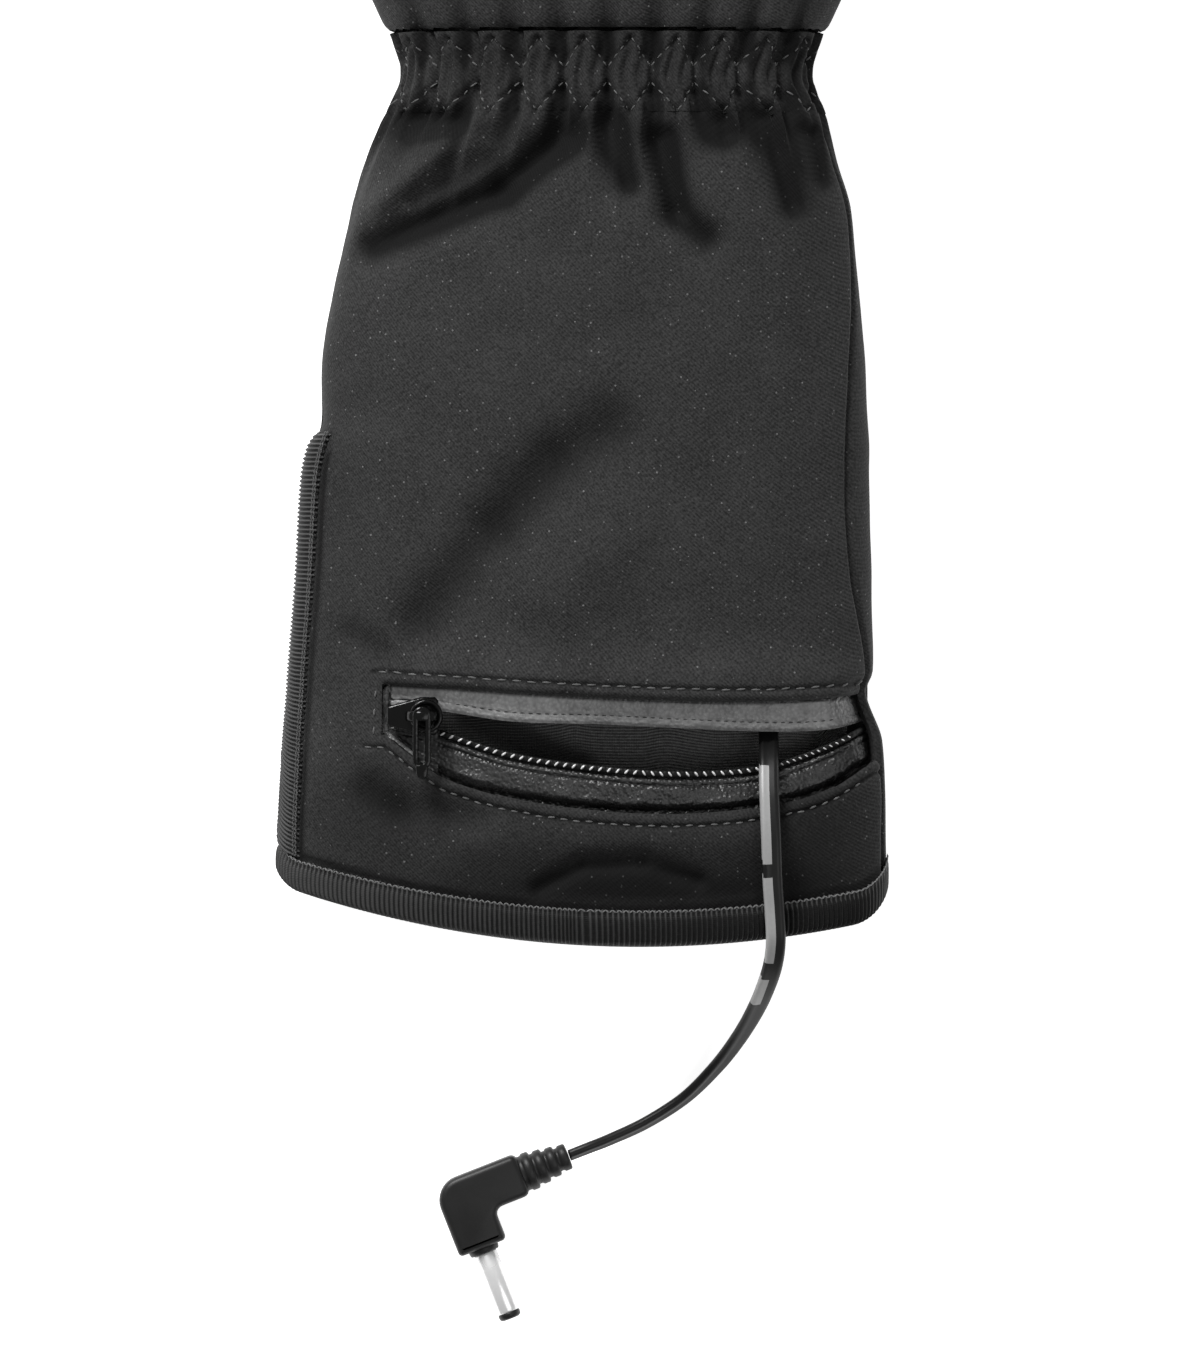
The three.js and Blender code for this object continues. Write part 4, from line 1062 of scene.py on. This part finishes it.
handPiece = handSkin()
handPiece.name = handPiece.data.name = "hand_cloth"
spots = spotsOf(handPiece.data) / mm
spots[:, 1] = np.where(spots[:, 1] < 75, np.maximum(spots[:, 1], hand["base"]), spots[:, 1])
spots[:, 2] = np.maximum(spots[:, 2], 0.02)
handAngle = angleOfX(sectionAt(handRows, np.clip((spots[:, 1] - hand["base"]) / hand["length"], 0, 1), hand["width"],
                               hand["height"], 0), spots[:, 0], 0)
handAngle = np.where(spots[:, 2] > 12, handAngle, np.sign(handAngle) * (2 * quarter - np.abs(handAngle)))
handPhase = gatherPhase(handAngle)
handDent = 1.5 * np.clip(np.cos(handPhase * turn), -0.1, 1) * np.exp(-(spots[:, 1] - hand["base"]) / 6.5)
handDent = handDent + 0.35 * wrinkle(spots[:, 0], spots[:, 1], 15, 51.5) * smooth(spots[:, 1], 80, 95)
handMiddle = 0.45 * hand["height"]
spots[:, 2] -= np.where(spots[:, 2] > handMiddle, 1, -0.4) * handDent * smooth(np.abs(spots[:, 2] - handMiddle), 1, 6)
moveSpots(handPiece.data, spots * mm)
# the hand's gather dents are painted darker: painted shade
handPiece.data.attributes.new("painted_shade", "FLOAT", "POINT").data.foreach_set("value", np.clip(handDent * 0.4, 0, 0.9))
dropFaces(handPiece, lambda x, y, z: y < hand["base"] + 0.35)
thicken(handPiece, hand["wall"])
select(handPiece)
bpy.ops.object.shade_smooth()
ride(handPiece, softshell, "softshell", "hand_shell", "thumb", "finger_little", "finger_ring", "finger_middle",
     "finger_index")
print("hand")

# Binding tape: a folded U with crosswise ribs, round the hem and up both sides of the vent

tape = {"rib": 0.18, "pitch": 0.71, "edgeSwing": 0.22, "stitch": 0.45}
tapeFold = {  # inward from the edge, and depth below the cloth's outside, going round the U
    "inward": (4.30, 4.05, 3.6, 3.0, 2.4, 1.8, 1.2, 0.6, 0.1, -0.45, -0.85, -1.05, -1.05, -0.85, -0.4, 0.2, 2.2, 4.2),
    "depth": (-0.12, -0.62, -0.62, -0.82, -0.92, -0.98, -1.0, -1.0, -0.98, -0.8, -0.35, 0.4, 1.3, 2.0, 2.4, 2.5,
              2.5, 2.4),
}


def tapeAt(u, phase):
    row = u * (len(tapeFold["inward"]) - 1)
    inward = np.interp(row, range(len(tapeFold["inward"])), tapeFold["inward"])
    deep = np.interp(row, range(len(tapeFold["depth"])), tapeFold["depth"])
    ribbed = smooth(row, 2.0, 3.2)
    deep = deep - tape["rib"] * np.cos(phase * turn) * ribbed * (row < 14)
    edge = np.abs((phase * 0.8) % 1 - 0.5) * 4 - 1
    inward = inward + tape["edgeSwing"] * edge * (1 - smooth(row, 0.4, 1.6))
    return inward, deep


def cuffPoint(angleAt, share, depth, past=0.0):
    level = hem + share * cuff["length"]
    flatRing = cuffRing(level)
    rise = hemRise(sectionPoint(flatRing, angleAt(flatRing), 0)[0])
    ring = cuffRing(level + rise * (1 - share) ** 2)
    ring["floor"] = floorOver(share * cuff["length"])
    angle = angleAt(ring)
    x, z = sectionPoint(ring, angle, depth)
    return x, ring["y"] + past, sunk(x, ring["y"], z, angle)


hemShare, hemTurn, hemRound = evenAngles(cuffRing(np.array([hem + 2.0])), -quarter * 0.93, quarter * 2.93)
hemRibs = round(hemRound / tape["pitch"])


def hemAngle(share, level):
    # the angle at a share of the way round the hem, and how flat the tape lies in the right corner
    turned = np.interp(share, hemShare, hemTurn)

    def angleAt(ring):
        left = edgeAngle(ring, True, -cuff["bindingOver"])
        return left + (edgeAngle(ring, False, -cuff["bindingOver"]) - left) * turned

    return angleAt, 1 - 0.75 * smooth(np.sin(angleAt(cuffRing(level))), 0.8, 1.0)


def hemPlace(u, v):
    inward, deep = tapeAt(v, u * hemRibs)
    angleAt, flatter = hemAngle(u, hem + 3 + 0 * u)
    deep = np.where(deep < 0, deep * flatter, deep)
    return cuffPoint(angleAt, np.maximum(inward, 0) / cuff["length"], deep, np.minimum(inward, 0))


def tapeFlat(ribs):
    return lambda u, v: (u * ribs, v * 12)


hemPiece = gridPiece("hem_binding", hemRibs * 5, 34, hemPlace, flat=tapeFlat(hemRibs))
ride(hemPiece, binding, "binding", "binding_hem")


ventLong = cuff["tapeTop"] - hem - cuff["ventBottom"]


def ventPoint(upper, along, inward, depth):
    # a place on the vent's edge, at a share of the way up it
    side = 1 if upper else -1
    share = (cuff["ventBottom"] + along * ventLong) / cuff["length"]
    return cuffPoint(lambda ring: walk(ring, edgeAngle(ring, upper), side * inward), share, depth)


def ventPlace(upper, ribs):
    def place(u, v):
        inward, deep = tapeAt(v, u * ribs)
        nearTop = np.clip(1 - (1 - u) * ventLong / 3.4, 0, 1)
        inset = rounded(1, nearTop)
        deep = np.where(deep < 0, deep * (1 - 0.95 * inset), deep)
        inward = inward + 1.6 * inset * (inward < 1)
        return ventPoint(upper, u, inward, deep)
    return place


ventRibs = round(ventLong / tape["pitch"])
for upper, name, node in ((True, "vent_binding_front", "binding_vent_front"),
                          (False, "vent_binding_back", "binding_vent_back")):
    piece = gridPiece(name, ventRibs * 5, 34, ventPlace(upper, ventRibs), flat=tapeFlat(ventRibs))
    ride(piece, binding, "binding", node)
print("bindings")

# Zip: two coated tapes under the cloth, the lining bag below them, coil, slider and pull

zipper = {"depth": 2.3, "thick": 0.8, "lap": 3.0, "tapeLeft": -31.4, "left": -23.6, "right": 39.6, "tick": 1.35,
          "fold": 1.15}


def topPoint(x, y, depth):
    ring = cuffRing(y)
    z = sectionPoint(ring, angleOfX(ring, x, depth), depth)[1]
    return x, y, z - foldAt(x, y)


def upperTapePlace(u, v):
    x = zipper["tapeLeft"] + (zipper["right"] - zipper["tapeLeft"]) * u
    low, high = mouthLine(x, "tapeAbove"), mouthLine(x, "foldAbove") + zipper["lap"]
    t = 0.55 * v + 0.45 * v * v
    y = low + (high - low) * t
    depth = zipper["depth"] + 0.45 * hill(y - low, 0.28) + 0.16 * hill(y - low - zipper["tick"], 0.16)
    depth += 0.12 * wrinkle(x, y * 1.6, 2.6, 31.5) * smooth(y - low, 0.5, 1.4)
    return topPoint(x, y, depth)


def lowerTapePlace(u, v):
    x = zipper["tapeLeft"] + (zipper["right"] - zipper["tapeLeft"]) * u
    low, high = mouthLine(x, "foldBelow") - zipper["lap"], mouthLine(x, "tapeBelow")
    y = low + (high - low) * v
    fromEdge = high - y
    depth = zipper["depth"] + 0.5 * hill(fromEdge, 0.3) + 0.3 * hill(fromEdge - zipper["fold"], 0.22)
    depth += 0.3 * wrinkle(x, y * 1.4, 3.4, 35.5) * smooth(fromEdge, 0.8, 1.8)
    depth += 1.1 * (1 - smooth(y - mouthLine(x, "foldBelow"), 0.3, 1.6))
    return topPoint(x, y, depth)


# painted shade on the upper tape: a painted shadow under the cloth's fold, and painted darker towards the right
def upperShade(x, y, z):
    shadow = 0.95 * (1 - smooth(mouthLine(x, "foldAbove") - y, 0.1, 0.6))
    return np.clip(shadow + 0.3 * smooth(x, -12, 4) + 0.5 * smooth(x, 33, 37), 0, 0.95)


# painted shade on the lower tape: a painted shadow under the cloth's fold, a painted dark line in the tape's groove,
# and painted darker towards the right
def lowerShade(x, y, z):
    fromEdge = mouthLine(x, "tapeBelow") - y
    shadow = 0.95 * (1 - smooth(y - mouthLine(x, "foldBelow"), 0.35, 0.9))
    groove = 0.8 * hill(fromEdge - zipper["fold"], 0.3)
    return np.clip(shadow + groove + 0.35 * smooth(x, -10, 8) + 0.5 * smooth(x, 31, 37), 0, 0.97)


upperTape = gridPiece("zip_tape_upper_coated", 240, 36, upperTapePlace, shade=upperShade)
lowerTape = gridPiece("zip_tape_lower_coated", 240, 40, lowerTapePlace, shade=lowerShade)
for piece, look, node in ((upperTape, paintedLitTape, "zip_tape_upper"), (lowerTape, paintedShadedTape, "zip_tape_lower")):
    thicken(piece, zipper["thick"] * 0.8)
    ride(piece, look, "coated_tape", node)

tapeEnd = {"left": -33.4, "right": -23.9, "top": -22.6, "bottom": -38.5}


def tapeEndPlace(u, v):
    x = tapeEnd["left"] + (tapeEnd["right"] - tapeEnd["left"]) * u
    y = tapeEnd["bottom"] + (tapeEnd["top"] - tapeEnd["bottom"]) * v
    return topPoint(x, y, zipper["depth"] + 0.15 - 0.3 * hill(x + 31.6, 0.9) + 0.1 * wrinkle(x, y, 1.8, 39.5))


endPiece = gridPiece("zip_tape_end", 40, 60, tapeEndPlace)
thicken(endPiece, 0.5)
# the end piece takes the coated tape's copy painted in shade
ride(endPiece, paintedShadedTape, "coated_tape")
stripSpots = ((-30.9, -25.0), (-31.6, -25.6), (-31.7, -31.0), (-31.2, -31.9), (-27.0, -35.3))
stripPath = np.array([topPoint(np.array([x]), np.array([y]), zipper["depth"] - 0.4) for x, y in stripSpots])[:, :, 0]


def stripSection(angle, row):
    return 0.5 * np.cos(angle), 0.25 * np.sin(angle)


endStrip = tubePiece("zip_tape_end_strip", smoothRoute(stripPath, 6), stripSection, 12)
# the strip is the coated tape in a copy painted half lit
ride(endStrip, finish("coated_tape_edge_half_lit", {"Specular IOR Level": 0.5}, coatedLook(0.5)), "coated_tape")

bag = {"left": -34, "right": 36.5, "bottom": -52, "top": 20, "depth": 9.8, "rim": 5, "wall": 0.7}


def bagPlace(u, v):
    x = bag["left"] + (bag["right"] - bag["left"]) * u
    y = bag["bottom"] + (bag["top"] - bag["bottom"]) * v
    inX = smooth(np.minimum(x - bag["left"], bag["right"] - x), 0, bag["rim"])
    inY = smooth(np.minimum(y - bag["bottom"], bag["top"] - y), 0, bag["rim"])
    rim = zipper["depth"] + zipper["thick"] + 0.35
    sway = 0.45 * wrinkle(x, y * 0.6, 7, 43.5) * inX * inY
    return topPoint(x, y, rim + (bag["depth"] - rim) * inX * inY + 0.5 + sway)


def bagShade(x, y, z):
    # painted shade: the diagonal is a painted shadow, and no form of the bag stands behind it; the right end is
    # painted darker as painted shade
    shadow = np.exp(-(awayFromLine(x, y, -19, -29, -3, -36.5) / 2.6) ** 4)
    return np.clip(shadow + smooth(x, 33, 36), 0, 0.97)


bagPiece = gridPiece("pocket_lining", 130, 130, bagPlace, shade=bagShade)
thicken(bagPiece, bag["wall"])
ride(bagPiece, knit, "lining", "pocket_bag")

coil = {"wide": 1.1, "thick": 0.75, "pitch": 1.29, "upperOffset": 0.9, "lowerOffset": 0.62,
        "tooth": (0.46, 0.18, 0.25)}


def coilPlace(column, offset, depth):
    def place(u, v):
        x = zipper["left"] + (zipper["right"] - zipper["left"]) * u
        angle = v * turn
        y = mouthLine(x, column) + offset + coil["wide"] / 2 * np.cos(angle)
        z = topPoint(x, y, depth + coil["thick"] / 2 - coil["thick"] / 2 * np.sin(angle))[2]
        ripple = 0.09 * np.cos(x / coil["pitch"] * 2 * turn)
        return x, y, z + ripple * np.sin(angle)
    return place


def coilPiece(name, column, offset, depth, node):
    piece = gridPiece(name, 300, 12, coilPlace(column, offset, depth), around=True)
    closeEnds(piece)
    ride(piece, coilNylon, "zip_coil", node)


coilPiece("zip_coil_upper_nylon", "tapeAbove", coil["upperOffset"], zipper["depth"] + 1.3, "zip_coil_upper")
coilPiece("zip_coil_lower_nylon", "tapeBelow", coil["lowerOffset"], zipper["depth"] - 0.1, "zip_coil_lower")


def templateBall(name, across, rings):
    bpy.ops.mesh.primitive_uv_sphere_add(segments=across, ring_count=rings, radius=mm)
    ball = bpy.context.object
    ball.name = ball.data.name = name
    return ball


bead = templateBall("bead_pattern", 8, 6)
dash = templateBall("dash_pattern", 6, 6)


def ballAt(place, length, width, thick, angle, normal):
    normal = np.array(normal, float) / np.linalg.norm(normal)
    ahead = np.array([math.cos(angle), math.sin(angle), 0])
    ahead -= normal * ahead.dot(normal)
    ahead /= np.linalg.norm(ahead)
    side = np.cross(normal, ahead)
    return [np.array(place, float), ahead * length, side * width, normal * thick]


def surfaceAt(x, y, lift, surface):
    x, y = np.array([x], float), np.array([y], float)
    spot = np.array(surface(x, y, lift)).T[0]
    east = np.array(surface(x + 0.15, y, lift)).T[0] - spot
    north = np.array(surface(x, y + 0.15, lift)).T[0] - spot
    return spot, np.cross(east, north)


def frontAt(x, y, lift):
    ring = cuffRing(y)
    angle = angleOfX(ring, x, 0)
    depth = frontExtra(x, angle, y, 5 + 0 * x) - lift
    return x, y, sectionPoint(ring, angleOfX(ring, x, depth), depth)[1] - foldAt(x, y)


def teeth():
    made = []
    x = zipper["left"] + 0.4
    while x < zipper["right"] - 2.6:
        y = mouthLine(x, "tapeBelow") + coil["lowerOffset"]
        slope = mouthLine(x + 0.5, "tapeBelow") + coil["lowerOffset"] - y
        spot, normal = surfaceAt(x, y, 0, lambda a, b, lift: topPoint(a, b, zipper["depth"] - 0.12))
        lean = math.radians(52 if x < 6 else 128)
        size = 1.0 if x < 26 else 0.7
        a, b, c = coil["tooth"]
        made.append(ballAt(spot, a * size, b * size, c * size, lean + math.atan(slope * 2), normal))
        x += coil["pitch"] * (1 if x < 23 else 0.7)
    return made


# pale teeth along the coil stand for its glints: painted highlight
teethPiece = scatterPiece("zip_teeth", bead, teeth())
ride(teethPiece, paintedGlintTeeth, "zip_coil")
print("zip tapes, coil and lining")

# Slider and its pull

slider = {"x": -27.6, "y": -29.0, "length": 7.6, "width": 5.6, "thick": 2.4, "proud": 0.6, "bridgeRise": 1.9,
          "bridgeSpan": 4.2, "bridgeX": -26.2}
sliderTop = topPoint(np.array([slider["x"]]), np.array([slider["y"]]), 0)[2][0] + slider["proud"]
half, nose = slider["width"] / 2, slider["length"] / 2
sliderOutline = ([(-nose, -half * 0.5), (-nose * 0.2, -half * 0.8), (nose * 0.3, -half), (nose - 0.5, -half),
                  (nose, -half + 0.5), (nose, half - 0.5), (nose - 0.5, half), (nose * 0.3, half),
                  (-nose * 0.2, half * 0.8), (-nose, half * 0.5)])


def atSlider(x, y, z):
    return slider["x"] + x, slider["y"] + y, sliderTop + z + 0 * x


topPlate = platePiece("slider_top", sliderOutline, -0.95, 0, atSlider, 0.42, 5)
lowPlate = platePiece("slider_base", sliderOutline, -slider["thick"], -slider["thick"] + 0.8, atSlider, 0.3)
post = platePiece("slider_post", arc(-nose * 0.45, 0, 0.9, 0, turn * 23 / 24, 24), -slider["thick"] + 0.3, -0.3,
                  atSlider, 0)
for part in (topPlate, lowPlate, post):
    ride(part, enamel, "slider", *(("zip_slider",) if part is topPlate else ()))

bridgeX = slider["bridgeX"] - slider["x"]
halfSpan, bridgeFoot = slider["bridgeSpan"] / 2, -0.35
archPath = [(bridgeX - halfSpan + (1 - math.cos(a)) * halfSpan, 0,
             bridgeFoot + (slider["bridgeRise"] - bridgeFoot + 0.1) * math.sin(a) ** 0.62)
            for a in np.linspace(0.02, math.pi - 0.02, 25)]


def roundBar(width, high):
    def section(angle, row):
        power = 0.6
        return (width / 2 * np.sign(np.cos(angle)) * np.abs(np.cos(angle)) ** power,
                high / 2 * np.sign(np.sin(angle)) * np.abs(np.sin(angle)) ** power)
    return section


ringAt = (-25.6, -29.0)  # a low dished ring, so that the pull's loop clears it when it swings up
ringProfile = [(0, 0.25), (1.5, 0.25), (1.75, 0.7), (1.95, 1.0), (2.2, 1.08), (2.42, 0.9), (2.5, 0.4), (2.45, -0.5),
               (0, -0.5)]
sliderRing = lathePiece("slider_ring", ringProfile, 40,
                        lambda x, y, z: (ringAt[0] + x, ringAt[1] + z, sliderTop + y + 0 * x))
ride(sliderRing, enamel, "slider")
archWorld = np.array([[slider["x"] + x, slider["y"] + y, sliderTop + z] for x, y, z in archPath])
bridge = tubePiece("slider_bridge", archWorld, roundBar(1.5, 0.8), 16)
ride(bridge, enamel, "slider")

pull = {"x": -26.2, "y": -29.0, "z": sliderTop + slider["bridgeRise"], "width": 1.85, "length": 8.4, "wire": 0.9}


def loopPath(half, length, top):
    side = length - half
    points = [(half * math.cos(a), top + half * math.sin(a) - half) for a in np.linspace(0, math.pi, 13)]
    points += [(-half, y) for y in np.linspace(top - half, top - side, 12)[1:]]
    points += [(half * math.cos(a), top - side + half * math.sin(a)) for a in np.linspace(math.pi, turn, 13)[1:]]
    points += [(half, y) for y in np.linspace(top - side, top - half, 12)[1:-1]]
    return points


pullLoop = np.array([[pull["x"] + x, pull["y"] + y, pull["z"] - 0.05] for x, y in
                     loopPath(pull["width"] / 2, pull["length"], 1.0)])
loopPiece = tubePiece("pull_loop", pullLoop, roundBar(pull["wire"], 0.85), 12, closed=True)
tab = platePiece("pull_tab", [(-1.0, 0), (-0.8, -1.9), (-0.3, -2.1), (0.3, -2.1), (0.8, -1.9), (1.0, 0)], -0.5, 0.5,
                 lambda x, y, z: (pull["x"] + x, pull["y"] - 7.1 + y, pull["z"] - 0.05 + z + 0 * x), 0.3)
for part in (loopPiece, tab):
    ride(part, enamel, "slider", *(("zip_pull",) if part is loopPiece else ()), body="zip_pull")
print("slider and pull")


# Sewing: every row is one small shape, copied along its line


def dashesAlong(path, length, gap, width, thick, surface, lift, sway=0.0):
    path = np.asarray(path, float)
    run = np.concatenate([[0], np.cumsum(np.hypot(*np.diff(path, axis=0).T))])
    made = []
    at = gap / 2
    count = 0
    while at + length < run[-1]:
        a = [np.interp(at, run, path[:, k]) for k in (0, 1)]
        b = [np.interp(at + length, run, path[:, k]) for k in (0, 1)]
        wobble = sway * math.sin(count * 2.4)
        spot, normal = surfaceAt((a[0] + b[0]) / 2, (a[1] + b[1]) / 2 + wobble, lift, surface)
        angle = math.atan2(b[1] - a[1], b[0] - a[0]) + sway * 0.8 * math.sin(count * 1.7)
        made.append(ballAt(spot, length / 2, width / 2, thick / 2, angle, normal))
        at += length + gap
        count += 1
    return made


seamX = np.linspace(mouth["left"] - 1.4, mouth["left"] + mouth["length"] - 1.2, 60)
upperSeam = np.stack([seamX, mouthLine(seamX, "foldAbove") + mouth["stitchAbove"]], axis=1)
lowX = np.linspace(mouth["left"] - 3.4, mouth["left"] + mouth["length"] - 1.2, 60)
lowerSeam = np.stack([lowX, mouthLine(lowX, "foldBelow") - mouth["stitchBelow"]], axis=1)
stitched = dashesAlong(upperSeam, 1.45, 0.75, 0.34, 0.3, frontAt, 0.10, 0.05)
stitched += dashesAlong(lowerSeam, 1.15, 0.7, 0.34, 0.3, frontAt, 0.10, 0.09)
stitched += dashesAlong([(-32.9, -24.4), (-33.2, -26.6), (-33.4, -32.6)], 1.1, 1.6, 0.32, 0.28, frontAt, 0.08)
tickX = np.linspace(-21.5, mouth["left"] + mouth["length"] - 5, 50)
tickLine = np.stack([tickX, mouthLine(tickX, "tapeAbove") + zipper["tick"]], axis=1)
ticks = dashesAlong(tickLine, 0.75, 0.45, 0.2, 0.2, lambda x, y, lift: topPoint(x, y, zipper["depth"] - lift), -0.12)
ride(scatterPiece("tape_stitches", dash, ticks), darkThread, "coated_tape")
seamPiece = scatterPiece("pocket_stitches", dash, stitched)
ride(seamPiece, thread, "softshell")


def wristAt(phase, y, lift):
    angle = np.interp((phase + gather["shift"]) / gather["count"], wristRun, wristRound)
    ring = wristSection((y - wrist["base"]) / wrist["length"])
    x, z = sectionPoint(ring, angle, wristExtra(angle, y) - lift)
    return x, y, sunk(x, y, z, angle)


def wristStitches():
    made = []
    for row, sign in (("lowRow", 1), ("highRow", -1)):
        for half in range(2 * gather["count"]):
            start, end = (half - gather["count"]) / 2, (half + 1 - gather["count"]) / 2
            for a, b in ((0.05, 0.20), (0.30, 0.45), (0.55, 0.70), (0.80, 0.95)):
                phases = np.array([start + (end - start) * t for t in (a, b)])
                ys = wrist[row] + sign * wrist["swing"] * zigzag(phases)
                ends = np.array(wristAt(phases, ys, 0.10)).T
                middle = np.array(wristAt(phases.mean(keepdims=True), ys.mean(keepdims=True), 0.10)).T[0]
                ahead = ends[1] - ends[0]
                length = np.linalg.norm(ahead)
                side = np.cross((middle[0], 0, middle[2] - 11), ahead)
                side = np.cross((0, 1, 0.01), ahead) if np.linalg.norm(side) < 1e-6 else side
                side /= np.linalg.norm(side)
                up = np.cross(ahead / length, side)
                made.append([middle, ahead / 2, side * 0.12, up * 0.12])
    return made


wristSeam = scatterPiece("wrist_stitches", dash, wristStitches())
ride(wristSeam, thread, "softshell")


def chainOf(count, spotOf, across, width):
    # a zigzag of short threads beside the tape's edge
    made = []
    for step in range(count):
        side = 1 if step % 2 else -1
        a, b = spotOf(step, side * across), spotOf(step + 1, -side * across)
        ahead = b - a
        length = np.linalg.norm(ahead)
        middle = (a + b) / 2
        out = np.array([middle[0] * 0.4, 0, middle[2] - 10])
        side = np.cross(out, ahead)
        side /= np.linalg.norm(side)
        made.append([middle, ahead * 0.56, side * width, np.cross(ahead / length, side) * width])
    return made


def hemEdge(inward, count):
    def spotOf(step, across):
        angleAt, flatter = hemAngle(step / count, np.array([hem + 3.0]))
        spot = cuffPoint(angleAt, np.array([(inward + across * flatter) / cuff["length"]]), -0.55 * flatter)
        return np.array([float(np.ravel(v)[0]) for v in spot])
    return spotOf


hemCount = round(hemRound / tape["stitch"])
hemChain = scatterPiece("hem_selvedge", dash, chainOf(hemCount, hemEdge(4.15, hemCount), 0.2, 0.12))
ride(hemChain, selvedgeThread, "binding")


def ventEdge(upper, inward, count):
    def spotOf(step, across):
        spot = ventPoint(upper, np.array([step / count]), inward + across, -0.6)
        return np.array([float(np.ravel(v)[0]) for v in spot])
    return spotOf


ventCount = round(ventLong / tape["stitch"])
chains = []
for upper in (True, False):
    for inward in (3.75, 4.25):
        chains += chainOf(ventCount, ventEdge(upper, inward, ventCount), 0.17, 0.1)
ventChain = scatterPiece("vent_selvedge", dash, chains)
ride(ventChain, darkThread, "binding")
for pattern in (bead, dash):
    bpy.data.objects.remove(pattern)
print("sewing")
